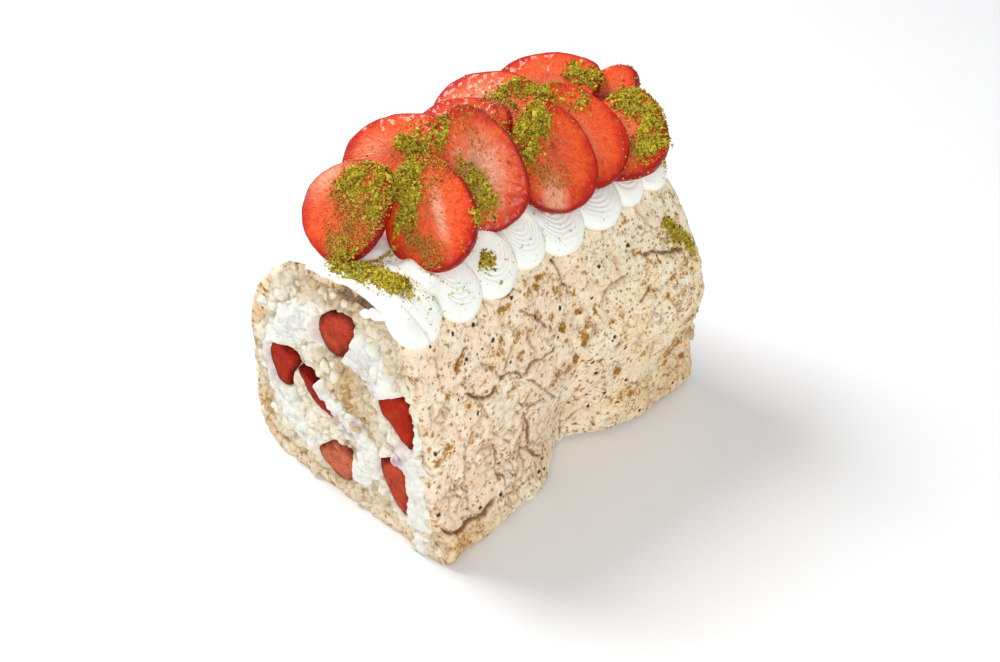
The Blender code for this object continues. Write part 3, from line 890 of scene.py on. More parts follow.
    def build(self, side: Side, material: bpy.types.Material) -> bpy.types.Object:
        """Makes one half of the crust as a closed slab.

        Args:
            side: which half.
            material: the crust's finish.

        Returns:
            The piece.
        """
        low, high, step = side.value
        end = self.roll.skin_end
        skin = np.arange(max(low, 0.0), min(high, end), step)
        under = np.arange(0.0, 46.0, 3.0)
        arcs = np.concatenate([low + under, skin]) if low < 0.0 else np.concatenate([skin, end + under])
        arcs = np.unique(np.append(arcs, [low, high]))
        reach = self.roll.half_length - self.inset
        along = np.linspace(-reach, reach, round(2 * reach / step))
        arc, y = np.meshgrid(arcs, along, indexing="ij")
        shown = smooth_step(arc, -1.0, 5.0) * smooth_step(arc, end + 1.0, end - 5.0)
        made = self.relief(arc, y)
        ends = smooth_step(reach - np.abs(y), 0.0, 3.0)
        ragged = noise(np.stack([arc, np.sign(y) * 50.0], -1), 2.4, 80, 3)
        lift = made.pop("lift") * shown - 1.1 * (1.0 - ends) * (1.0 + ragged) * shown
        sheltered = smooth_step(arc, 112.0, 120.0) * smooth_step(arc, 150.0, 138.0)
        shrink = 1.1 * ragged - (1.6 * bell(arc - 140.0, 30.0) + 3.0 * sheltered) * (1.0 + 0.4 * ragged)
        # Painted shadow: the crust's edge under the overhanging cream is darkened at both ends.
        made["crack_and_shade"] = np.maximum(made["crack_and_shade"], 0.8 * sheltered * smooth_step(np.abs(y), reach - 6.0, reach - 2.0))
        outer = self.roll.surface(arc, y + np.sign(y) * shrink * (1.0 - ends), lift)
        behind = np.meshgrid(arcs, np.linspace(-reach + 0.3, reach - 0.3, self.inner_columns), indexing="ij")
        inner = self.roll.surface(*behind, np.full(behind[0].shape, -self.wall))
        form = Form()
        add_slab(form, outer, inner, **{k: v * shown for k, v in made.items()})
        piece = form.mesh(f"crust_{side.name.lower()}")
        return dress(piece, material, "baked_meringue", "meringue_roll")


class End(Enum):
    """The two cut ends: the sign of Y that they look towards."""

    NEAR = -1
    FAR = 1


BERRY_LOOPS = {
    "near": {
        "berry_near_top": ((-7, 88), (2, 95), (12, 96), (11, 86), (5, 76), (-3, 74), (-8, 80)),
        "berry_near_left": ((-41, 54), (-36, 61), (-28, 62), (-23, 58), (-28, 49), (-31, 41), (-38, 41)),
        "berry_near_core": ((-22, 56), (-16, 56), (-10, 50.5), (-2, 42.5), (-9, 41.5), (-17, 46)),
        "berry_near_base": ((-16, 16), (-10, 23), (-2, 29), (5, 27), (7, 20), (3, 11), (-4, 8), (-11, 10)),
        "berry_near_right": ((23, 65), (30, 71), (38, 75), (41, 67), (42, 53), (36, 51), (30, 56), (25, 60)),
        "berry_near_low": ((22, 34), (30, 39), (36, 38), (38, 30), (37, 14), (31, 15), (25, 23)),
    },
    "far": {
"berry_far_top": ((-14, 86), (-4, 93), (8, 92), (13, 84), (4, 77), (-8, 76)),
        "berry_far_left": ((-44, 46), (-38, 56), (-29, 54), (-28, 42), (-33, 33), (-41, 35)),
        "berry_far_base": ((-12, 12), (-8, 24), (4, 27), (14, 22), (10, 11), (-2, 8)),
        "berry_far_right": ((28, 52), (30, 66), (38, 71), (43, 60), (41, 46), (33, 44)),
        "berry_far_low": ((26, 22), (31, 36), (40, 36), (43, 22), (38, 12), (30, 13)),
    },
}


PALE_INSIDE = {"berry_near_base": 0.75, "berry_near_low": 0.2, "berry_near_top": 0.15, "berry_far_left": 0.6}


@dataclass
class CutFace:
    """A cut end of the roll: torn foam and crumb, hollowed where the berries sit."""

    roll: RollShape
    end: End
    berries: dict
    middle: tuple = (0.0, 52.0)
    rings: int = 96
    around: int = 600
    patches: tuple = (
        # x, z, radius x, radius z, beige, brown
        (2, 106, 22, 13, 0.8, 0.25), (5, 55, 14, 22, 0.9, 0.45), (-40, 84, 14, 20, 0.05, 0.0), (-50, 20, 7, 18, 0.8, 0.6),
        (-20, 5, 26, 5, 0.8, 0.55), (40, 96, 14, 14, 0.35, 0.1), (20, 8, 12, 8, 0.55, 0.2), (-44, 46, 10, 14, 0.15, 0.0),
        (8, 22, 12, 10, 0.5, 0.1), (-14, 34, 14, 10, 0.15, 0.0), (50, 40, 6, 40, 0.25, 0.1), (-28, 20, 12, 10, 0.1, 0.0),
    )

    def relief(self, x: Array, z: Array) -> dict:
        """How far the torn face stands out in mm, and what the finish reads.

        Height = soft swell + rounded lumps of three sizes - gaps between them - hollows round the berries.
        """
        flat = np.stack([x, z], -1)
        seed = 200 if self.end is End.NEAR else 300
        warp = np.stack([noise(flat, 5.0, seed, 3), noise(flat, 5.0, seed + 1, 3)], -1)
        broad = cells(flat + 4.5 * warp, 8.0, seed + 2)
        lumps = cells(flat + 2.4 * warp, 3.6, seed + 3)
        grit = cells(flat + 0.5 * warp, 1.5, seed + 4)
        beige = np.full_like(x, 0.12)
        brown = np.zeros_like(x)
        for px, pz, rx, rz, b, n in self.patches:
            if self.end is End.FAR:
                px = -px
            weight = np.exp(-((((x - px) / rx) ** 2 + ((z - pz) / rz) ** 2) ** 1.5))
            beige = beige * (1.0 - weight) + b * weight
            brown = brown * (1.0 - weight) + n * weight
        rough = smooth_step(beige + 0.5 * noise(flat, 6.0, seed + 6, 2), 0.15, 0.75)
        lift = 1.5 * noise(flat, 14.0, seed + 5, 2) + 2.3 * noise(flat, 6.0, seed + 10, 3) + 0.4 * noise(flat, 1.5, seed + 11, 3)
        lift += 0.35 * (1.0 - np.exp(-broad.edge / 1.2)) + 1.1 * (broad.number - 0.5) + 0.8 * noise(flat, 2.6, seed + 14, 3)
        lift += (0.1 + 0.4 * rough) * (0.4 * (1.0 - np.exp(-lumps.edge / 0.7)) + 0.7 * (lumps.number - 0.5))
        lift += rough * (0.2 * (1.0 - np.exp(-grit.edge / 0.4)) + 0.35 * (grit.number - 0.5))
        # Painted shade in the gaps between lumps, in hollows of the relief and in broad patches.
        pit = np.maximum(0.15 * bell(broad.edge, 0.5), 0.25 * rough * bell(lumps.edge, 0.4))
        pit = np.maximum(pit, (0.45 + 0.3 * rough) * smooth_step(noise(flat, 2.6, seed + 14, 3), 0.0, -0.6))
        pit = np.maximum(pit, 0.5 * smooth_step(noise(flat, 3.2, seed + 12, 3), 0.3, 0.7))
        holes = cells(flat + 0.8 * warp, 3.6, seed + 7)
        bubble = np.where(holes.number > 0.55, bell(holes.centre, 0.7), 0.0)
        lift -= 1.2 * bubble
        # Painted shade in the bubbles.
        pit = np.maximum(pit, 0.45 * bubble)
        beige = np.clip(beige + 0.4 * noise(flat, 5.0, seed + 8, 3) + 0.25 * (lumps.number - 0.5), 0.0, 1.0)
        brown = np.clip(brown * (0.6 + 1.4 * noise(flat, 3.0, seed + 9, 2)) + 0.35 * (grit.number > 0.85) * rough, 0.0, 1.0)
        for loop in self.berries.values():
            depth = inside_loop(flat, curve_through(loop, 40, True))
            lift = lift - 3.2 * smooth_step(depth, -0.9, 0.6) + 0.6 * bell(depth + 1.8, 1.0)
        # A recess under the cream's edge, painted dark as its shadow.
        edge = z + 3.0 * noise(flat, 5.0, seed + 13, 3)
        under = smooth_step(edge, 103.0, 107.5) * bell(x - 10.0, 12.0)
        lift = np.minimum(lift, 2.6 + 0.3 * lift) - 1.5 * smooth_step(z, 101.0, 107.0) * bell(x + 6.0, 26.0) - 4.0 * under
        pit = np.maximum(pit, 1.5 * under)
        return {"lift": lift, "beige": beige, "brown": brown, "pit": np.minimum(pit, 1.0)}

    def build(self, material: bpy.types.Material) -> bpy.types.Object:
        """Makes the face: rings shrinking from the section's outline to its middle, then a plain back.

        Args:
            material: the crumb's finish.

        Returns:
            The piece.
        """
        side = self.end.value
        arc = np.linspace(0.0, self.roll.around, self.around, endpoint=False)
        edge, out = self.roll.outline(arc)
        flat_edge = np.stack([arc, np.zeros_like(arc)], -1)
        edge = edge - out * (0.9 - 1.2 * noise(flat_edge, 4.5, 90, 3))[:, None]
        edge[:, 1] = np.maximum(edge[:, 1], 0.25)
        if self.end is End.NEAR:
            edge -= out * (3.2 * bell(arc - 181.0, 13.0))[:, None]
        middle = np.array(self.middle)
        share = np.linspace(1.0, 0.0, self.rings, endpoint=False)[:, None, None]
        flat = middle + share * (edge - middle)
        made = self.relief(flat[..., 0], flat[..., 1])
        close = (1.0 - share[..., 0]) * 52.0
        lift = made.pop("lift") * smooth_step(close, -0.5, 3.5) - 1.8 * (1.0 - smooth_step(close, 0.0, 2.6))
        y = side * (self.roll.half_length - 1.3 + lift)
        front = self.roll.bend(np.stack([flat[..., 0], y, flat[..., 1]], -1))
        wall_y = np.full((1, self.around), side * (self.roll.half_length - 7.0))
        back = self.roll.bend(np.stack([flat[:1, :, 0], wall_y, flat[:1, :, 1]], -1))
        tip_front = front[-1].mean(0)
        tip_back = back[0].mean(0)
        points = np.concatenate([back.reshape(-1, 3), front.reshape(-1, 3), tip_front[None], tip_back[None]])
        rows = self.rings + 1
        faces = [grid_faces(rows, self.around, True)]
        ring = np.arange(self.around)
        faces.append(fan_faces(ring + (rows - 1) * self.around, rows * self.around, True))
        faces.append(fan_faces(ring, rows * self.around + 1))
        faces[1] = faces[1][:, ::-1]
        faces[2] = faces[2][:, ::-1]
        if side > 0:
            faces = [f[:, ::-1] for f in faces]
        spread = {k: np.concatenate([v[:1].ravel(), v.ravel(), v[-1, :1], v[0, :1]]) for k, v in made.items()}
        form = Form()
        form.add(points, faces, **spread)
        piece = form.mesh(f"crumb_face_{self.end.name.lower()}")
        return dress(piece, material, "baked_meringue", "meringue_roll")


# Violet patches on the cut cream, x z radii and strength: juice stains, made stronger as painted shade.
VIOLETS = (
    (31, 45, 7, 5, 0.95), (26, 49, 4, 6, 1.0), (4, 42, 7, 4, 0.8), (22, 60, 3.5, 11, 0.7), (-14, 49, 7, 5, 0.5),
    (17, 80, 7, 5, 0.3), (24, 74, 4, 5, 0.2), (-36, 50, 4, 8, 0.2), (-6, 14, 8, 4, 0.15),
)


@dataclass
class CreamLayer:
    """The cream rolled up inside: a spiral strip through the whole length, lumpy where it is cut."""

    roll: RollShape
    line: tuple = (
        (45, 0, 3), (42, 13, 5.5), (38.5, 30, 7.5), (38, 48, 7.5), (34.5, 64, 7.5), (24, 77.5, 7.5), (8, 84, 7.5),
        (-10, 83, 7.5), (-26, 74, 7), (-35.5, 59, 7), (-37.5, 42, 6.5), (-31, 27.5, 6), (-18, 19.5, 6), (-2, 17.5, 6),
        (11.5, 21, 5), (16.5, 31, 4.5), (9, 39.5, 4.5), (-3, 45.5, 4.5), (-13, 51.5, 4),
    )
    samples: int = 560
    across: int = 30
    stations: int = 12

    def relief(self, place: Array, share: Array, side: int) -> dict:
        """How far the cut cream stands out: a soft crown across the strip, swirls, knife drag and small lumps."""
        seed = 400 + side
        drag = np.stack([place[..., 0] * 0.6, place[..., 1] * 1.6], -1)
        lumps = cells(place + 1.5 * np.stack([noise(place, 4.0, seed), noise(place, 4.0, seed + 1)], -1), 4.2, seed + 2)
        lift = 1.5 * (1.0 - np.abs(share) ** 2.5) + 1.5 * noise(place, 9.0, seed + 3, 2) + 0.7 * noise(drag, 2.6, seed + 4, 2)
        lift += 0.5 * (1.0 - np.exp(-lumps.edge / 0.9)) + 1.3 * (lumps.number - 0.5) + 0.15 * noise(place, 1.0, seed + 5) + 0.5
        bleed = np.zeros_like(share)
        for loop in BERRY_LOOPS["near" if side < 0 else "far"].values():
            depth = inside_loop(place, curve_through(loop, 40, True))
            lift = lift - 3.4 * smooth_step(depth, -1.0, 0.5) + 0.7 * bell(depth + 2.0, 1.1)
            bleed = np.maximum(bleed, 0.35 * smooth_step(depth, -3.0, -0.2))
        # Violet juice stains, made stronger as painted shade.
        violet = np.zeros_like(share)
        for x, z, rx, rz, strength in VIOLETS:
            away = ((place[..., 0] - x * -side) / rx) ** 2 + ((place[..., 1] - z) / rz) ** 2
            violet = np.maximum(violet, strength * np.exp(-(away**1.5)) * (0.6 + 0.9 * noise(place, 3.0, seed + 6, 2)))
        # Painted shade in the gaps between lumps and the knife-drag hollows.
        gap_shade = 0.12 * np.exp(-lumps.edge / 0.5) + 0.14 * smooth_step(noise(drag, 2.6, seed + 4, 2), 0.0, -0.6)
        violet = np.clip(violet + gap_shade, 0, 1)
        knob = bell(np.hypot((place[..., 0] + side * 31.0) / 6.0, (place[..., 1] - 75.0) / 3.6), 1.0)
        lift += 3.0 * knob
        violet *= 1.0 - knob
        lift = np.minimum(lift, 2.4 + 0.3 * lift)
        return {"lift": lift, "bleed": bleed * (0.6 + 0.8 * noise(place, 3.0, seed + 7)), "violet": violet}

    def build(self, material: bpy.types.Material) -> bpy.types.Object:
        """Makes the strip: the two cut ends as fine grids, joined by long plain walls.

        Args:
            material: the cream's finish.

        Returns:
            The piece.
        """
        track = curve_through(self.line, self.samples, False)
        slope = np.gradient(track[:, :2], axis=0)
        normal = np.column_stack([slope[:, 1], -slope[:, 0]]) / np.linalg.norm(slope, axis=1)[:, None]
        share = np.linspace(-1.0, 1.0, self.across)[None, :]
        form = Form()
        borders, rim_flat = [], []
        rows, columns = self.samples, self.across
        ids = np.arange(rows * columns).reshape(rows, columns)
        border = np.concatenate([ids[:, 0], ids[-1, 1:], ids[-2::-1, -1], ids[0, -2:0:-1]])
        for side in (-1, 1):
            ragged = np.stack([np.arange(rows) * 0.55, np.full(rows, 9.0 + side)], -1)
            grow = np.stack([noise(ragged, 5.0, 410, 3), noise(ragged + 60.0, 5.0, 411, 3)], -1) * 3.4 + 1.0
            width = track[:, 2:3] + np.where(share < 0, grow[:, :1], grow[:, 1:]) * np.minimum(1.0, track[:, 2:3] / 4.0)
            place = track[:, None, :2] + normal[:, None, :] * (share * width)[..., None]
            made = self.relief(place, np.broadcast_to(share, place.shape[:2]), side)
            y = side * (self.roll.half_length - 0.9 + made.pop("lift") - 1.6 * np.abs(share) ** 6)
            z = np.maximum(place[..., 1], 0.3)
            points = self.roll.bend(np.stack([place[..., 0], y, z], -1))
            quads = grid_faces(rows, columns)
            start = form.add(points, [quads if side < 0 else quads[:, ::-1]], **made)
            borders.append(border + start)
            core = track[:, None, :2] + normal[:, None, :] * (share * np.maximum(track[:, 2:3] - 1.5, 1.0))[..., None]
            rim_flat.append(np.stack([core[..., 0], np.maximum(core[..., 1], 0.6)], -1).reshape(-1, 2)[border])
        around = len(border)
        rim = np.concatenate([form.points[0], form.points[1]])[np.array(borders)]
        steps = np.linspace(0.0, 1.0, self.stations)[:, None, None]
        flat = rim_flat[0] * (1.0 - steps) + rim_flat[1] * steps
        y = rim[0, :, 1:2] * (1.0 - steps) + rim[1, :, 1:2] * steps
        inside = self.roll.bend(np.concatenate([flat[..., :1], y, flat[..., 1:]], -1))[1:-1]
        start = form.add(inside, [], bleed=0.0, violet=0.0)
        ids = np.vstack([borders[0], start + np.arange(inside.shape[0] * around).reshape(-1, around), borders[1]])
        after = np.roll(ids, -1, 1)
        walls = np.stack([ids[:-1], ids[1:], after[1:], after[:-1]], -1).reshape(-1, 4)
        form.faces.append(walls[:, ::-1])
        return dress(form.mesh("cream_layer"), material, "rolled_cream", "cream_filling")


@dataclass(frozen=True)
class Patch:
    """Where clods sit on a cut end: middle, half sizes, how many, their size in mm, how beige and how brown."""

    x: float
    z: float
    half_x: float
    half_z: float
    count: int
    size: float
    beige: float = 0.1
    brown: float = 0.0


CRUMB_CLODS = (
    Patch(-38, 84, 14, 16, 110, 3.2, 0.08), Patch(-51, 60, 5, 22, 70, 2.4, 0.25, 0.1), Patch(-49, 24, 5, 22, 90, 2.2, 0.7, 0.5),
    Patch(-22, 5, 26, 4, 80, 2.6, 0.7, 0.5), Patch(0, 103, 26, 6, 150, 1.8, 0.7, 0.25), Patch(6, 56, 12, 20, 200, 1.7, 0.75, 0.4),
    Patch(38, 92, 10, 14, 110, 1.9, 0.5, 0.2), Patch(49, 48, 4, 34, 110, 1.8, 0.5, 0.3), Patch(38, 7, 12, 6, 60, 3.6, 0.35, 0.25),
    Patch(44, 3, 6, 3, 24, 4.0, 0.5, 0.3), Patch(6, 12, 16, 8, 50, 2.2, 0.4, 0.2), Patch(-18, 34, 12, 10, 70, 2.3, 0.12),
    Patch(-32, 20, 12, 12, 60, 2.6, 0.15, 0.1), Patch(-10, 66, 14, 14, 50, 2.4, 0.1), Patch(10, 96, 10, 6, 40, 2.2, 0.2),
)
CREAM_CLODS = (
    Patch(-26, 72, 14, 10, 34, 3.2), Patch(-38, 46, 8, 18, 24, 3.0), Patch(20, 74, 18, 10, 30, 2.8), Patch(36, 46, 7, 26, 20, 2.4),
    Patch(-8, 22, 24, 8, 34, 2.8), Patch(12, 38, 12, 10, 24, 2.4), Patch(-8, 50, 10, 6, 14, 2.0), Patch(40, 12, 6, 12, 14, 3.4),
    Patch(31, 77, 5, 2, 12, 4.2), Patch(29, 44, 6, 8, 16, 2.4),
)


@dataclass
class Clods:
    """Rounded lumps of torn foam or cream pressed into the cut ends, clear of the berries."""

    roll: RollShape
    rows: int = 5
    around: int = 8

    def scatter(self, name: str, patches: tuple, ground: list, material: bpy.types.Material) -> bpy.types.Object:
        """Presses lumps into both ends: each a sphere pulled about by noise, half sunk where it lands.

        Args:
            name: the piece's name.
            patches: where they sit on the near end; the far end takes them mirrored.
            ground: pieces they land on.
            material: their finish.

        Returns:
            The piece.
        """
        rng = np.random.default_rng(len(name))
        trees = [search_tree(piece) for piece in ground]
        outline = self.roll.line[:: 6]
        fall = np.linspace(0.0, math.pi, self.rows + 2)
        turn = np.linspace(0.0, 2.0 * math.pi, self.around, endpoint=False)
        ball = np.stack([np.outer(np.sin(fall[1:-1]), np.cos(turn)), np.outer(np.sin(fall[1:-1]), np.sin(turn)),
                         np.outer(np.cos(fall[1:-1]), np.ones(self.around))], -1).reshape(-1, 3)
        ball = np.vstack([ball, [0, 0, 1], [0, 0, -1]])
        ring = np.arange(self.around)
        last = self.rows * self.around
        faces = [grid_faces(self.rows, self.around, True)[:, ::-1], fan_faces(ring, last),
                 fan_faces(ring + last - self.around, last + 1, True)]
        form = Form()
        for end in End:
            loops = [curve_through(loop, 40, True) for loop in BERRY_LOOPS[end.name.lower()].values()]
            for patch in patches:
                count = round(patch.count * (0.32 if end is End.NEAR else 0.25))
                spot = rng.normal(0.0, 0.6, (count, 2)) * (patch.half_x, patch.half_z) + (patch.x, patch.z)
                spot[:, 0] *= -end.value
                margin = 3.5 if "cream" in name else 2.0 if end is End.FAR else 0.6
                clear = inside_loop(spot, outline) > margin
                size = np.minimum(0.58 * patch.size * np.exp(np.clip(rng.normal(0.0, 0.5, count), -1.0, 0.6)), 1.9)
                for loop in loops:
                    clear &= inside_loop(spot, loop) < -(1.1 * size + 0.7)
                for (x, z), half in zip(spot[clear], size[clear]):
                    start = self.roll.bend(np.array([x, end.value * 76.0, max(z, 1.2)]))
                    origin = Vector((start[0] * MM, end.value * 0.1, start[2] * MM))
                    hits = [tree.ray_cast(origin, Vector((0, -end.value, 0)))[0] for tree in trees]
                    reach = [abs(hit.y) / MM for hit in hits if hit is not None]
                    depth = min(max(reach + [74.0]), 79.6 - 0.9 * half)
                    pull = 1.0 + 0.75 * noise(ball * 1.1 + rng.random(3) * 50.0, 1.0, 5, 2)
                    shape = ball * pull[:, None] * half * (0.5 + 1.1 * rng.random(3))
                    turned = np.array(Matrix.Rotation(rng.random() * 6.28, 3, Vector(rng.normal(size=3))))
                    lump = shape @ turned + (start[0], end.value * (depth - 0.25 * half), start[2])
                    lump[:, 2] = np.maximum(lump[:, 2], 0.05)
                    beige = np.clip(patch.beige + 0.15 * rng.normal(), 0.0, 1.0)
                    brown = np.clip(patch.brown * (0.4 + rng.normal()), 0.0, 1.0)
                    # The clod takes the cream's violet stain and painted shade where it lands.
                    violet = max(v[4] * math.exp(-(((-end.value * x - v[0]) / v[2]) ** 2 + ((z - v[1]) / v[3]) ** 2)) for v in VIOLETS)
                    form.add(lump, faces, beige=beige, brown=brown, pit=0.0, bleed=0.0, violet=violet * rng.random())
        return dress(form.mesh(name), material, "baked_meringue" if material.name == "meringue_crumb" else "rolled_cream")


@dataclass
class CutBerry:
    """A strawberry cut through with the roll: a domed wet face, and a plain body behind it."""

    roll: RollShape
    name: str
    loop: tuple
    end: End
    pale: float = 0.0
    proud: float = 0.0
    rings: int = 18
    around: int = 110
    body: tuple = ((1.0, 3.0), (0.97, 7.0), (0.8, 12.0), (0.4, 15.0))

    def build(self, material: bpy.types.Material) -> bpy.types.Object:
        """Makes the berry from rings of its outline; the face stands out as 1 - share^4, with cut marks.

        Args:
            material: the flesh.

        Returns:
            The piece.
        """
        side = self.end.value
        seed = 500 + len(self.name) + int(abs(self.loop[0][0]))
        edge = curve_through(self.loop, self.around, True)
        middle = edge.mean(0)
        size = np.abs(edge - middle).max()
        wave = np.linspace(0, 2 * math.pi, self.around, endpoint=False)
        edge = middle + (edge - middle) * (1.02 + 0.03 * noise(np.stack([np.cos(wave), np.sin(wave)], -1) * 3.0, 1.0, seed, 2))[:, None]
        share = (np.linspace(1.0, 0.0, self.rings, endpoint=False) ** 0.8)[:, None, None]
        flat = middle + share * (edge - middle)
        lift = self.proud + 1.3 * (1.0 - share[..., 0] ** 5) + 0.35 * noise(flat, 5.0, seed + 1, 2) + 0.12 * noise(flat, 1.2, seed + 2)
        face = np.stack([flat[..., 0], side * (self.roll.half_length - 1.2 + lift), flat[..., 1]], -1)
        rows = []
        for shrink, depth in reversed(self.body):
            ring = middle + (edge - middle) * shrink
            rows.append(np.stack([ring[:, 0], np.full(self.around, side * (self.roll.half_length - depth)), ring[:, 1]], -1))
        skin = np.concatenate([np.ones((len(rows), self.around)), smooth_step(np.broadcast_to(share[..., 0], face.shape[:2]) + 0.25 * noise(flat, 5.0, seed + 3, 2), 0.55, 1.08)])
        points = self.roll.bend(np.concatenate([np.array(rows), face]))
        flat_all = np.concatenate([np.broadcast_to(edge, (len(rows), *edge.shape)), flat])
        total = len(points)
        tips = np.stack([points[-1].mean(0), points[0].mean(0)])
        ring = np.arange(self.around)
        faces = [
            grid_faces(total, self.around, True),
            fan_faces(ring + (total - 1) * self.around, total * self.around),
            fan_faces(ring, total * self.around + 1, True),
        ]
        turned = side > 0
        edge_turn = np.sum(edge[:, 0] * np.roll(edge[:, 1], -1) - np.roll(edge[:, 0], -1) * edge[:, 1]) < 0
        if turned != edge_turn:
            faces = [f[:, ::-1] for f in faces]
        across = (flat_all[..., 0] - middle[0]) / size * 0.9
        up = (flat_all[..., 1] - middle[1]) / size * 0.9
        pad = lambda v: np.concatenate([v.ravel(), [v[-1].mean(), v[0].mean()]])
        form = Form()
        skin = np.maximum(pad(skin) * 0.9, 0.3 * self.proud)
        form.add(np.concatenate([points.reshape(-1, 3), tips]), faces, across=pad(across), up=pad(up), skin=skin, pale=self.pale)
        return dress(form.mesh(f"cut_{self.name}"), material, "strawberry_filling", self.name)


@dataclass
class Lobe:
    """One piped loop of cream: the tip's arc, middle along the roll, half widths and how it lies."""

    tip: float
    along: float
    half: float
    long: float = 15.0
    thick: float = 6.0
    ribs: float = 0.75
    rise: float = 2.2
    left: bool = False


@dataclass
class PipedCream:
    """Cream piped along the top: ribbed loops down both edges over a plain bed."""

    roll: RollShape
    loops: tuple = (
        Lobe(102.5, -68.5, 10.5, 16.0, 6.2, 0.0, 0.6), Lobe(102.5, -47.5, 9.6), Lobe(103.0, -29.0, 11.2), Lobe(106.0, -10.5, 9.8),
        Lobe(103.5, 8.5, 12.6), Lobe(105.5, 32.0, 12.6), Lobe(108.5, 50.5, 8.6), Lobe(109.5, 66.5, 9.8),
        Lobe(184.0, -71.0, 8.0, 22.0, left=True), Lobe(176.0, -54.5, 9.8, 18.0, left=True), Lobe(171.5, -36.0, 10.2, left=True),
        Lobe(170.5, -18.0, 9.8, left=True), Lobe(172.0, 0.0, 10.2, left=True), Lobe(171.0, 18.0, 9.8, left=True),
        Lobe(172.0, 36.0, 10.2, left=True), Lobe(170.0, 53.0, 9.6, left=True), Lobe(168.5, 68.5, 8.6, left=True),
    )
    around: int = 108
    top_rings: int = 46
    rib_pitch: float = 1.7
    draw_back: float = 12.0
    dollops: tuple = (((25.5, -77.4, 106.5), (3.6, 2.2, 1.9)), ((20, -77.6, 104.5), (2.4, 1.8, 1.5)))
    bleeds: tuple = ((122, -53, 5, 8, 0.45), (118, -40, 4, 3, 0.3), (117, -22, 5, 5, 0.25), (115, 12, 3, 6, 0.2))

    def add_loop(self, form: Form, loop: Lobe, number: int) -> None:
        """Adds one closed loop.

        The outline is half a circle at the tip and half an oval behind; inner rings shrink towards a point
        draw_back mm up from its middle, so they stay wide near the tip. The top falls from the middle as thick x (1 - 0.3 share^2) and rolls
        over the rim as a quarter circle; ribs are sharp valleys every rib_pitch mm in from the rim. The far
        side stands higher, so each loop lies over the next.
        """
        seed = 600 + 10 * number
        turn = np.linspace(0, 2 * math.pi, self.around, endpoint=False)
        wave = np.stack([np.cos(turn), np.sin(turn)], -1)
        bulge = 1.0 + 0.035 * noise(wave * 2.0, 1.0, seed, 2)
        across = wave[:, 0] * np.where(wave[:, 0] > 0, loop.half, loop.long) * bulge
        along = wave[:, 1] * loop.half * bulge
        rim = 1.0 - 2.6 / loop.half
        top = np.concatenate([np.linspace(0.08, 0.3, 5), np.linspace(0.32, rim, self.top_rings - 16)])
        bow = np.linspace(0.0, math.pi * 0.5, 11)[1:]
        share = np.concatenate([top, rim + (1 - rim) * np.sin(bow), [0.985, 0.95, 0.86, 0.6]])
        fall = 1.0 - 0.22 * share**2
        roll_over = np.concatenate([np.ones(len(top)), np.cos(bow) ** 0.8, np.zeros(4)])
        height = loop.thick * fall * roll_over + 0.35
        height[-4:] = (0.05, -0.3, -0.9, -1.8)
        s, wave_x = np.meshgrid(share, across, indexing="ij")
        _, wave_y = np.meshgrid(share, along, indexing="ij")
        lift = np.broadcast_to(height[:, None], s.shape).copy()
        u, v = s * wave_x - self.draw_back * (1.0 - s), s * wave_y
        inward = (1.0 - s) * (loop.half + self.draw_back) + 0.2 * noise(np.stack([u, v], -1), 5.0, seed + 1)
        phase = np.abs((inward / self.rib_pitch + 0.15) % 1.0 - 0.5) * 2.0
        shown = smooth_step(lift, 0.3, 2.2) * smooth_step(s, 0.25, 0.4)
        lift += loop.ribs * (np.sqrt(1.0 - np.clip(phase, 0, 1) ** 2.5) - 1.0) * shown
        flat = np.stack([u, v], -1)
        lift += (0.35 * noise(flat, 7.0, seed + 2) + 0.07 * noise(flat, 1.4, seed + 3)) * shown
        if loop.ribs == 0.0:
            crease = np.abs(v + 2.5 - 0.35 * (u + 2.0))
            lift -= 1.5 * bell(crease, 0.9) * smooth_step(u, -8.0, 0.0) * shown
        lift += np.where(lift > 0.4, loop.rise * smooth_step(v, -loop.half, loop.half) * smooth_step(s, 1.15, 0.6), 0.0)
        sign = 1.0 if loop.left else -1.0
        arc = loop.tip - sign * loop.half + sign * u
        points = self.roll.surface(arc, np.clip(loop.along + v, -79.0, 79.5), lift)
        bleed = np.zeros_like(lift)
        for b_arc, b_along, ra, rl, strength in self.bleeds:
            away = ((arc - b_arc) / ra) ** 2 + ((loop.along + v - b_along) / rl) ** 2
            bleed = np.maximum(bleed, strength * np.exp(-away))
        rows = len(share)
        tips = np.stack([points[0].mean(0), points[-1].mean(0)])
        ring = np.arange(self.around)
        faces = [
            grid_faces(rows, self.around, True),
            fan_faces(ring, rows * self.around, True),
            fan_faces(ring + (rows - 1) * self.around, rows * self.around + 1),
        ]
        if not loop.left:
            faces = [f[:, ::-1] for f in faces]
        form.add(np.concatenate([points.reshape(-1, 3), tips]), faces, bleed=np.append(bleed.ravel(), [0.0, 0.0]), violet=0.0)

    def build(self, material: bpy.types.Material) -> bpy.types.Object:
        """Makes all the loops as one piece.

        Args:
            material: the cream's finish.

        Returns:
            The piece.
        """
        form = Form()
        for number, loop in enumerate(self.loops):
            self.add_loop(form, loop, number)
        for number, (centre, radii) in enumerate(self.dollops):
            self.add_dollop(form, np.array(centre), np.array(radii), number)
        return dress(form.mesh("piped_loops"), material, "piped_cream", "piped_cream")

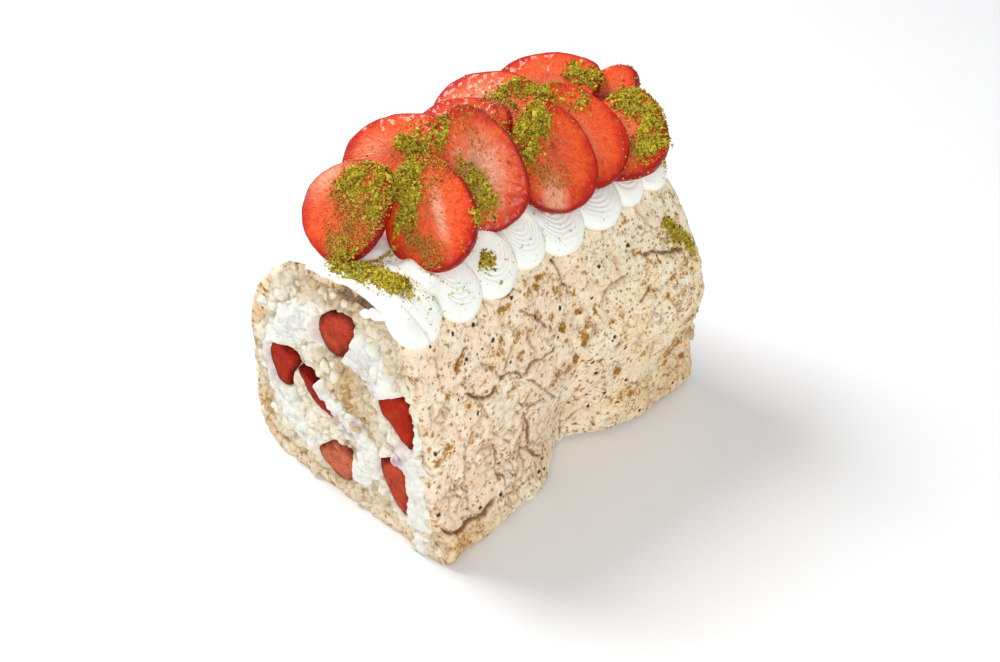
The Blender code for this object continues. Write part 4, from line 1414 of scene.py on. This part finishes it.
    def add_dollop(self, form: Form, centre: Array, radii: Array, number: int) -> None:
        """Adds a small smear: a ball of 12 x 20 points stretched to radii and pulled about by noise."""
        fall = np.linspace(0.0, math.pi, 14)[1:-1, None]
        turn = np.linspace(0.0, 2.0 * math.pi, 20, endpoint=False)[None, :]
        ball = np.stack([np.sin(fall) * np.cos(turn), np.sin(fall) * np.sin(turn), np.cos(fall) + 0.0 * turn], -1).reshape(-1, 3)
        ball = np.vstack([ball, [0, 0, 1], [0, 0, -1]])
        ball = ball * (1.0 + 0.3 * noise(ball * 1.3 + 9.0 * number, 1.0, 640, 2))[:, None]
        ring = np.arange(20)
        faces = [grid_faces(12, 20, True)[:, ::-1], fan_faces(ring, 240), fan_faces(ring + 220, 241, True)]
        form.add(centre + ball * radii, faces, bleed=0.0, violet=0.0)

    def mounds(self, ground: Array, slices: tuple) -> Array:
        """How far the bed rises to hold up the slices: to just under the lowest one over each point.

        Args:
            ground: the flat bed's points in mm.
            slices: the berry slices that lie on it.

        Returns:
            Rise in mm, 0 away from the slices.
        """
        ceiling = np.full(ground.shape[:2], 400.0)
        cover = np.zeros(ground.shape[:2])
        x, y = ground[..., 0], ground[..., 1]
        crest = bell(x - 1.0, 17.0) * smooth_step(y, -70.0, -50.0) * smooth_step(y, 76.0, 60.0)
        for berry in slices:
            frame = berry.frame()
            side, tip, out = frame.T
            away = ground - np.array(berry.centre)
            drop = -(berry.thick + away[..., 0] * out[0] + away[..., 1] * out[1]) / out[2]
            away = np.concatenate([away[..., :2], drop[..., None]], -1)
            u, v = away @ side, away @ tip
            reach = np.hypot(u / (berry.width * (1.0 - berry.taper * np.clip(v / berry.length, -1, 1))), v / berry.length)
            under = berry.centre[2] + drop - (0.0028 * u**2 + 0.0012 * v**2) / out[2]
            ceiling = np.minimum(ceiling, under + 60.0 * smooth_step(reach, 1.02, 1.5))
            cover = np.maximum(cover, smooth_step(reach, 1.05, 0.2))
        room = ceiling - 1.2 - ground[..., 2]
        heap = (4.0 + 13.0 * cover) * crest * (1.0 + 0.35 * noise(ground[..., :2], 8.0, 705, 3))
        return np.maximum(0.0, heap - 2.0 * np.logaddexp(0.0, (heap - room) / 2.0))

    def build_bed(self, material: bpy.types.Material, slices: tuple) -> bpy.types.Object:
        """Makes the bed under the berries: a slab from the right loops to the left ones, its edges rounded down.

        Args:
            material: the cream's finish.
            slices: the berry slices that it holds up.

        Returns:
            The piece.
        """
        low, high = 116.0, 160.0
        arcs = np.arange(low, high + 0.01, 0.8)
        along = np.linspace(-78.0, 78.0, 260)
        arc, y = np.meshgrid(arcs, along, indexing="ij")
        flat = np.stack([arc, y], -1)
        side = np.minimum(arc - low, high - arc)
        end = np.minimum(y + 78.0, 78.0 - y)
        lift = 4.4 + 0.9 * noise(flat, 8.0, 700, 2) + 0.4 * noise(flat, 3.0, 701)
        lift -= 1.1 * bell(y + 75.2 + 0.5 * noise(flat, 9.0, 704), 1.0) * smooth_step(arc, 118.0, 124.0)
        lift += 1.6 * smooth_step(y, -72.0, -50.0)
        lift -= 3.4 * (1.0 - np.sqrt(1.0 - (1.0 - np.clip(side / 4.0, 0, 1)) ** 2))
        lift -= 1.5 * smooth_step(end, 9.0, 2.0)
        lift -= 2.0 * (1.0 - np.sqrt(1.0 - (1.0 - np.clip(end / 1.8, 0, 1)) ** 2))
        ledge = 1.2 * noise(np.stack([arc, 0 * arc], -1), 6.0, 702, 3)
        overhang = ledge + 2.6 * smooth_step(arc, 131.0, 143.0) - 0.6
        y_out = y + np.sign(y) * overhang * smooth_step(end, 6.0, 0.0)
        outer = self.roll.surface(arc, y_out, lift)
        outer[..., 2] += self.mounds(outer, slices)
        behind = np.meshgrid(arcs, np.linspace(-77.8, 77.8, 14), indexing="ij")
        inner = self.roll.surface(*behind, np.full(behind[0].shape, 0.4))
        form = Form()
        add_slab(form, outer, inner, bleed=0 * lift, violet=0 * lift)
        return dress(form.mesh("piped_bed"), material, "piped_cream", "piped_cream")


@dataclass
class BerrySlice:
    """One slice on top: its place and lean as in the CAD, its halves, and its pale streak: strength, middle and half sizes as shares."""

    name: str
    centre: tuple
    lean: float
    toward: float
    turn: float
    width: float
    length: float
    pale: tuple = (0.3, 0.0, 0.0, 0.2, 0.4)
    thick: float = 4.6
    taper: float = 0.22
    around: int = 176

    def frame(self) -> Array:
        """Columns side, tip and out, each of length 1; out leans from upright towards a heading."""
        lean, look, turn = (math.radians(a) for a in (self.lean, self.toward, self.turn))
        out = np.array([math.sin(lean) * math.sin(look), -math.sin(lean) * math.cos(look), math.cos(lean)])
        uphill = np.array([0.0, 0.0, 1.0]) - out * out[2]
        uphill /= np.linalg.norm(uphill)
        right = np.cross(uphill, out)
        tip = uphill * math.cos(turn) + right * math.sin(turn)
        return np.column_stack([np.cross(tip, out), tip, out])

    def build(self, number: int, material: bpy.types.Material) -> bpy.types.Object:
        """Makes the slice: rings of its outline over the cut face, round the wet rim and across the back.

        Outline at angle t: (width sin t (1 - taper cos t), length cos t). The face is domed by 1 - share^2
        and scored outwards by fine fibres.

        Args:
            number: picks its unevenness.
            material: the flesh.

        Returns:
            The piece.
        """
        seed = 800 + 20 * number
        t = np.linspace(0, 2 * math.pi, self.around, endpoint=False)
        wave = np.stack([np.cos(t), np.sin(t)], -1)
        bulge = 1.0 + 0.045 * noise(wave * 1.8, 1.0, seed, 3)
        x = self.width * np.sin(t) * (1.0 - self.taper * np.cos(t)) * bulge
        y = self.length * np.cos(t) * bulge
        inner = np.linspace(0.05, 0.93, 24)
        bow = np.linspace(0.0, math.pi, 11)[1:-1]
        share = np.concatenate([inner, 0.945 + 0.05 * np.sin(bow), [0.93, 0.8, 0.5, 0.15]])
        half = self.thick / 2
        z = np.concatenate([np.zeros(len(inner)), -half + half * np.cos(bow), np.full(4, -self.thick)])
        s, px = np.meshgrid(share, x, indexing="ij")
        _, py = np.meshgrid(share, y, indexing="ij")
        px, py = px * s, py * s
        z = np.broadcast_to(z[:, None], s.shape).copy()
        front = np.arange(len(share))[:, None] < len(inner) + 2
        flat = np.stack([px, py], -1)
        rays = np.stack([wave[:, 0] * 14.0 + 0 * s, wave[:, 1] * 14.0 + 0 * s, s * 3.0], -1)
        fibres = noise(rays, 1.0, seed + 1, 2) * smooth_step(s, 0.2, 0.5)
        z += np.where(front, 0.7 * (1.0 - s**2) - 0.3 * bell(s, 0.3) + 0.13 * fibres + 0.25 * noise(flat, 8.0, seed + 2, 2), 0.0)
        curl = noise(np.array([[number * 7.3, 1.0]]), 1.0, 3)[0]
        z -= (0.0028 * px**2 + 0.0012 * py**2) * (1.0 + 0.5 * curl)
        local = np.stack([px, py, z], -1)
        points = local @ self.frame().T + np.array(self.centre)
        rows = len(share)
        tips = np.stack([points[0].mean(0), points[-1].mean(0)])
        ring = np.arange(self.around)
        faces = [
            grid_faces(rows, self.around, True),
            fan_faces(ring, rows * self.around, True),
            fan_faces(ring + (rows - 1) * self.around, rows * self.around + 1),
        ]
        skin = np.where(front, smooth_step(s, 0.91, 0.98), 1.0)
        skin[-4:] = np.array([[0.9], [0.4], [0.3], [0.3]])
        tips_at = lambda v: np.concatenate([v.ravel(), [v[0].mean(), v[-1].mean()]])
        across, up = tips_at(px / self.width), tips_at(py / self.length)
        strong, mid_x, mid_y, half_x, half_y = self.pale
        pale = strong * bell(np.hypot((across - mid_x) / half_x, (up - mid_y) / half_y), 1.0) + 0.12 * bell(across, 0.5) * bell(up, 0.6)
        form = Form()
        form.add(np.concatenate([points.reshape(-1, 3), tips]), faces, across=across, up=up, skin=tips_at(skin), pale=pale)
        return dress(form.mesh(f"strawberry_{self.name}"), material, "cut_strawberry", self.name)


SLICES = (
    BerrySlice("slice_left_1", (-5, -63, 131.5), 54, 6, 33, 17.7, 20.6, (0.6, -0.8, 0.0, 0.28, 0.5)),
    BerrySlice("slice_right_1", (17.5, -43.5, 130), 45, 21, -29, 17.3, 22.1, (0.8, 0.24, -0.1, 0.11, 0.5)),
    BerrySlice("slice_left_2", (-16.5, -27.5, 132.5), 41, 8, 46, 17.9, 23.7, (0.3, -0.35, -0.3, 0.25, 0.3)),
    BerrySlice("slice_right_2", (16.5, -18, 135.5), 55, 43, -15, 18.4, 24.5, (0.75, 0.15, -0.05, 0.45, 0.5)),
    BerrySlice("slice_left_3", (-7.5, -5, 133), 43, 10, 44, 18.0, 23.7, (0.3, 0.0, 0.0, 0.3, 0.4)),
    BerrySlice("slice_right_3", (25.5, 15.5, 131), 44, 67, 5, 17.1, 22.7, (1.1, -0.2, -0.72, 0.24, 0.34)),
    BerrySlice("slice_left_4", (-18, 24, 131), 35, 12, 59, 17.8, 24.5, (0.75, 0.0, -0.1, 0.5, 0.5)),
    BerrySlice("slice_right_4", (22, 34.5, 131.5), 39, 54, -23, 17.4, 22.9, (0.2, 0.0, -0.2, 0.2, 0.4)),
    BerrySlice("slice_left_5", (-12.5, 53, 130.5), 34, 20, 58, 17.8, 24.3, (0.1, 0.0, 0.0, 0.4, 0.3)),
    BerrySlice("slice_right_5", (28, 54.5, 126), 29, 22, -6, 17.9, 21.0, (0.4, 0.0, -0.4, 0.3, 0.4)),
    BerrySlice("slice_end", (8.5, 67, 128.5), 53, 8, 20, 12.0, 16.0, (0.2, 0.0, 0.0, 0.3, 0.3)),
)


@dataclass(frozen=True)
class Strewn:
    """A stretch where bits fall: a line in plan, its half width, how many bits, how high they heap, a ceiling and a floor."""

    line: tuple
    half: float
    share: float
    heap: float = 0.0
    top: float = 200.0


@dataclass
class Bits:
    """Loose bits of one kind: few-sided grains of varied size dropped straight down onto what lies below."""

    name: str
    size: float
    spread: float
    count: int
    seed: int
    sides: int = 5

    def template(self, rng: np.random.Generator) -> tuple[Array, Array]:
        """Corner points and faces of one grain: a ring of sides points between two tips, pulled about."""
        turn = np.linspace(0, 2 * math.pi, self.sides, endpoint=False)
        ring = np.column_stack([np.cos(turn), np.sin(turn), 0.25 * np.sin(3 * turn)])
        points = np.vstack([ring, [0.1, 0.0, 0.9], [0.0, -0.1, -0.9]])
        numbers = np.arange(self.sides)
        return points, np.vstack([fan_faces(numbers, self.sides), fan_faces(numbers, self.sides + 1, True)])

    def scatter(self, ground: list, zones: tuple, material: bpy.types.Material) -> bpy.types.Object:
        """Drops the grains.

        Args:
            ground: search trees of the pieces that grains may land on.
            zones: stretches to drop over.
            material: the bits' finish.

        Returns:
            The piece.
        """
        rng = np.random.default_rng(self.seed)
        shape, faces = self.template(rng)
        shares = np.array([z.share for z in zones])
        counts = np.round(self.count * shares / shares.sum()).astype(int)
        places, normals = [], []
        for zone, count in zip(zones, counts):
            line = np.array(zone.line, float)
            lengths = np.linalg.norm(np.diff(line, axis=0), axis=1)
            starts = np.concatenate([[0.0], np.cumsum(lengths)])
            at = rng.random(count) * starts[-1]
            x = np.interp(at, starts, line[:, 0]) + rng.normal(0, 0.55, count) * zone.half
            y = np.interp(at, starts, line[:, 1]) + rng.normal(0, 0.55, count) * zone.half
            off = np.hypot(x - np.interp(at, starts, line[:, 0]), y - np.interp(at, starts, line[:, 1])) / zone.half
            clump = noise(np.stack([x, y], -1), 3.4, 17, 2) + 0.35 * rng.normal(size=count) > -0.12
            x, y, off = x[clump], y[clump], off[clump]
            pile = zone.heap * np.exp(-(off**2) * 1.3) * rng.random(len(x)) * (1.0 + noise(np.stack([x, y], -1), 4.0, 18))
            for px, py, lift in zip(x, y, pile):
                best, facing = None, None
                for tree in ground:
                    hit, normal, _, _ = tree.ray_cast(Vector((px * MM, py * MM, min(zone.top, 199.0) * MM)), Vector((0, 0, -1)))
                    if hit is not None and (best is None or hit.z > best.z):
                        best, facing = hit, normal
                if best is not None and best.z > 0.001:
                    places.append((best.x / MM, best.y / MM, best.z / MM))
                    normals.append(tuple(facing * (lift + 0.25 * self.size)))
        centre = np.array(places) + np.array(normals)
        n = len(centre)
        size = self.size * np.exp(rng.normal(0, self.spread, n))[:, None] * (0.7 + 0.6 * rng.random((n, 3)))
        axis = rng.normal(size=(n, 3, 3))
        a = axis[:, 0] / np.linalg.norm(axis[:, 0], axis=1)[:, None]
        b = axis[:, 1] - (axis[:, 1] * a).sum(1)[:, None] * a
        b /= np.linalg.norm(b, axis=1)[:, None]
        turned = np.stack([a, b, np.cross(a, b)], 1)
        uneven = shape[None] * (1.0 + 0.25 * rng.normal(size=(n, len(shape), 1)))
        points = np.einsum("nik,nkj->nij", uneven * size[:, None, :] * 0.5, turned) + centre[:, None, :]
        points[..., 2] = np.maximum(points[..., 2], 0.05)
        all_faces = (faces[None] + (np.arange(n) * len(shape))[:, None, None]).reshape(-1, 3)
        form = Form()
        form.add(points.reshape(-1, 3), [all_faces], pick=np.repeat(rng.random(n), len(shape)))
        piece = form.mesh(self.name)
        piece.data.polygons.foreach_set("use_smooth", np.zeros(len(piece.data.polygons), bool))
        return dress(piece, material, "cut_strawberry")


NUT_ZONES = (
    Strewn(((-9, -60), (-3, -56), (5, -55)), 4.2, 1.8, 1.5), Strewn(((5, -55), (9, -60)), 4.0, 1.3, 1.3),
    Strewn(((3, -46), (4, -37)), 4.4, 2.0, 1.8), Strewn(((-16, -24), (-6, -20), (3, -21)), 4.2, 3.2, 2.2),
    Strewn(((6, -46), (9, -42), (12, -47), (10, -53)), 3.6, 2.4, 1.3), Strewn(((14, -22), (19, -20), (24, -19), (26, -21)), 3.0, 2.2, 1.2),
    Strewn(((-15, 32), (-10, 37), (-2, 39), (6, 34)), 4.0, 2.4, 1.6), Strewn(((14, 21), (16, 12), (18, 4)), 4.8, 3.6, 2.2),
    Strewn(((-19, 28), (-8, 27)), 4.0, 0.7, 0.6), Strewn(((-8, 62), (0, 66), (6, 66)), 3.4, 1.3, 1.2),
    Strewn(((13, 44), (16, 40)), 3.0, 0.5, 0.6), Strewn(((17, 65), (25, 66), (33, 66), (38, 60), (38, 52)), 6.0, 5.0, 1.4),
    Strewn(((1, -73), (10, -71), (17, -69), (24, -69), (30, -69)), 3.6, 4.4, 1.7), Strewn(((34, -34), (37, -31)), 2.6, 0.8, 0.9),
    Strewn(((39, 53), (40, 59), (43, 61), (46, 63), (49, 66)), 2.6, 2.6, 1.2), Strewn(((49, 66), (54, 73)), 2.6, 0.5, 0.5),
)
DAMP_ZONES = (
    Strewn(((-7, -63), (3, -65), (10, -62)), 6.0, 3.4, 0.4), Strewn(((-5, -71), (4, -70)), 3.4, 1.0, 0.2),
    Strewn(((12, -52), (22, -52), (30, -51)), 3.6, 1.3, 0.2), Strewn(((6, -38), (16, -34)), 6.0, 0.8, 0.2),
    Strewn(((-6, -30), (10, -16), (0, 8), (4, 40)), 9.0, 1.8), Strewn(((26, 4), (30, 16)), 5.0, 0.6),
    Strewn(((48, -66), (52, -20), (54, 30), (58, 70)), 9.0, 0.35),
)
DUST_ZONES = (
    Strewn(((4, -74), (20, -71), (36, -64)), 6.0, 1.0), Strewn(((36, -60), (38, -30), (42, 10), (44, 60)), 6.0, 0.5),
    Strewn(((48, -66), (52, -20), (54, 30), (58, 70)), 9.0, 0.6), Strewn(((-30, -60), (-30, 0), (-30, 60)), 12.0, 0.5),
    Strewn(((46, 56), (52, 66)), 5.0, 0.5), Strewn(((10, -45), (10, 0), (10, 50)), 16.0, 1.5),
)


@dataclass
class Seeds:
    """Strawberry seeds round the slices' skins."""

    each: int = 34
    size: tuple = (0.45, 0.75, 0.3)

    def build(self, slices: tuple, material: bpy.types.Material) -> bpy.types.Object:
        """Sets small flat drops along each rim, lying in the skin.

        Args:
            slices: the slices that carry them.
            material: their finish.

        Returns:
            The piece.
        """
        rng = np.random.default_rng(5)
        turn = np.linspace(0.0, 2.0 * math.pi, 6, endpoint=False)
        ring = np.column_stack([np.cos(turn), np.sin(turn), 0.0 * turn])
        drop = np.vstack([ring, [0, 0, 1], [0, 0, -1]]) * self.size
        faces = [fan_faces(np.arange(6), 6), fan_faces(np.arange(6), 7, True)]
        form = Form()
        for berry in slices:
            t = 2.0 * math.pi * (np.arange(self.each) + 0.6 * rng.random(self.each)) / self.each
            x = 0.99 * berry.width * np.sin(t) * (1.0 - berry.taper * np.cos(t))
            y = 0.99 * berry.length * np.cos(t)
            z = -0.5 * berry.thick * (0.5 + 0.9 * rng.random(self.each)) - (0.0028 * x**2 + 0.0012 * y**2)
            out = np.column_stack([np.sin(t), np.cos(t), 0.3 + 0.0 * t])
            out /= np.linalg.norm(out, axis=1)[:, None]
            up = np.array([0.0, 0.0, 1.0]) - out * out[:, 2:]
            up /= np.linalg.norm(up, axis=1)[:, None]
            axes = np.stack([np.cross(up, out), up, out], 1)
            local = np.einsum("kj,njl->nkl", drop, axes) + np.column_stack([x, y, z])[:, None, :]
            points = local @ berry.frame().T + np.array(berry.centre)
            every = [(f[None] + (np.arange(self.each) * len(drop))[:, None, None]).reshape(-1, 3) for f in faces]
            form.add(points.reshape(-1, 3), every, pick=np.repeat(rng.random(self.each), len(drop)))
        return dress(form.mesh("strawberry_seeds"), material, "cut_strawberry")


@dataclass
class Studio:
    """Pale floor, soft lights and the camera."""

    camera_at: tuple = (0.32173, -0.33159, 0.40747)
    right: tuple = (0.72927, 0.68421, 0.00383)
    up: tuple = (-0.42740, 0.45117, 0.78344)
    back: tuple = (0.53431, -0.57298, 0.62145)
    lens: float = 50.4

    def build(self) -> None:
        """Sets the floor, lights, world and camera."""
        scene = bpy.context.scene
        size, drop = 3.0, -0.0004
        mesh = bpy.data.meshes.new("floor")
        mesh.from_pydata([(-size, -size, drop), (size, -size, drop), (size, size, drop), (-size, size, drop)], [], [(0, 1, 2, 3)])
        floor = bpy.data.objects.new("floor", mesh)
        scene.collection.objects.link(floor)
        made, g, shader = start_material("pale_floor", Roughness=0.6)
        tint = g.mix(g.noise(60.0, 2.0), (0.86, 0.86, 0.86), (0.88, 0.88, 0.88))
        g.tree.links.new(tint, shader.inputs["Base Color"])
        mesh.materials.append(made)
        for name, place, watts, wide in (
            ("key", (-0.70, -0.15, 0.95), 13.0, 0.5),
            ("side", (0.75, -0.65, 0.60), 6.1, 0.7),
            ("back", (0.1, 0.95, 0.8), 1.5, 1.0),
        ):
            lamp = bpy.data.lights.new(name, "AREA")
            lamp.energy, lamp.size = watts, wide
            light = bpy.data.objects.new(name, lamp)
            light.location = place
            light.rotation_euler = (Vector((0, 0, 0.06)) - Vector(place)).to_track_quat("-Z", "Y").to_euler()
            scene.collection.objects.link(light)
        world = bpy.data.worlds.new("white_room")
        world.use_nodes = True
        world.node_tree.nodes["Background"].inputs[0].default_value = (0.97, 0.985, 1.0, 1.0)
        world.node_tree.nodes["Background"].inputs[1].default_value = 0.42
        scene.world = world
        camera = bpy.data.objects.new("camera", bpy.data.cameras.new("camera"))
        camera.data.lens, camera.data.sensor_width = self.lens, 36.0
        turn = Matrix((self.right, self.up, self.back)).transposed()
        camera.matrix_world = Matrix.Translation(self.camera_at) @ turn.to_4x4()
        camera.data.clip_start, camera.data.clip_end = 0.01, 20.0
        scene.collection.objects.link(camera)
        scene.camera = camera
        scene.view_settings.view_transform = "Standard"
        scene.view_settings.look = "None"


def search_tree(piece: bpy.types.Object) -> BVHTree:
    """A tree for dropping bits onto a piece."""
    return BVHTree.FromObject(piece, bpy.context.evaluated_depsgraph_get())


def main() -> None:
    """Loads the frame, builds each piece in order and reports it."""
    logging.basicConfig(level=logging.INFO, format="%(message)s")
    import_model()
    groups = {"speckles": speckle_group(), "grain": grain_group(), "hairlines": hairline_group()}
    roll = RollShape()
    crust_finish = CrustFinish()
    crust_stuff = crust_finish.material(groups)
    crumb_stuff = CrumbFinish().material(groups)
    cream_stuff = CreamFinish().material("whipped_cream")
    # A darker copy of the whipped cream for the cream inside the roll: painted shade.
    rolled_shaded_stuff = CreamFinish((0.82, 0.835, 0.755), (0.70, 0.38, 0.32)).material("rolled_cream")
    flesh_stuff = FleshFinish().material()
    # A darker copy of the strawberry flesh for the berries in the cut ends: wet juice and painted shade.
    wet_shaded_stuff = FleshFinish("wet_shaded_strawberry", (0.74, 0.20, 0.10), (0.50, 0.020, 0.002), (0.22, 0.005, 0.001), (0.12, 0.003, 0.002), (0.62, 0.05, 0.008), (0.68, 0.065, 0.007), 0.32, 0.03, 0.03).material()
    crust = Crust(roll, crust_finish)
    ground = [crust.build(side, crust_stuff) for side in Side]
    faces = []
    for end in End:
        berries = BERRY_LOOPS[end.name.lower()]
        faces.append(CutFace(roll, end, berries).build(crumb_stuff))
        for name, loop in berries.items():
            CutBerry(roll, name, loop, end, PALE_INSIDE.get(name, 0.0), 1.2 if "core" in name else 0.0).build(wet_shaded_stuff)
    filling = CreamLayer(roll).build(rolled_shaded_stuff)
    clods = Clods(roll)
    clods.scatter("meringue_clods", CRUMB_CLODS, faces + [filling], crumb_stuff)
    clods.scatter("cream_clods", CREAM_CLODS, faces + [filling], rolled_shaded_stuff)
    piping = PipedCream(roll)
    ground.append(piping.build(cream_stuff))
    ground.append(piping.build_bed(cream_stuff, SLICES))
    ground += [berry.build(number, flesh_stuff) for number, berry in enumerate(SLICES)]
    Studio().build()
    bpy.context.view_layer.update()
    trees = [search_tree(piece) for piece in ground]
    nut = BitFinish("chopped_pistachio", (0.66, 0.56, 0.06), (0.34, 0.25, 0.012), (0.14, 0.06, 0.012)).material()
    damp = BitFinish("damp_pistachio", (0.62, 0.40, 0.06), (0.42, 0.13, 0.03), (0.14, 0.05, 0.015)).material()
    Seeds().build(SLICES, BitFinish("seed", (0.80, 0.52, 0.16), (0.62, 0.30, 0.07), (0.30, 0.12, 0.03), 0.4).material())
    Bits("pistachio_crumbs", 1.0, 0.32, 8000, 11, 6).scatter(trees, NUT_ZONES, nut)
    Bits("pistachio_meal", 0.68, 0.28, 30000, 12, 4).scatter(trees, NUT_ZONES, nut)
    Bits("pistachio_dust", 0.5, 0.3, 3600, 14, 4).scatter(trees, DUST_ZONES, nut)
    Bits("damp_dust", 0.5, 0.3, 17000, 13, 4).scatter(trees, DAMP_ZONES, damp)


if __name__ == "__main__":
    main()
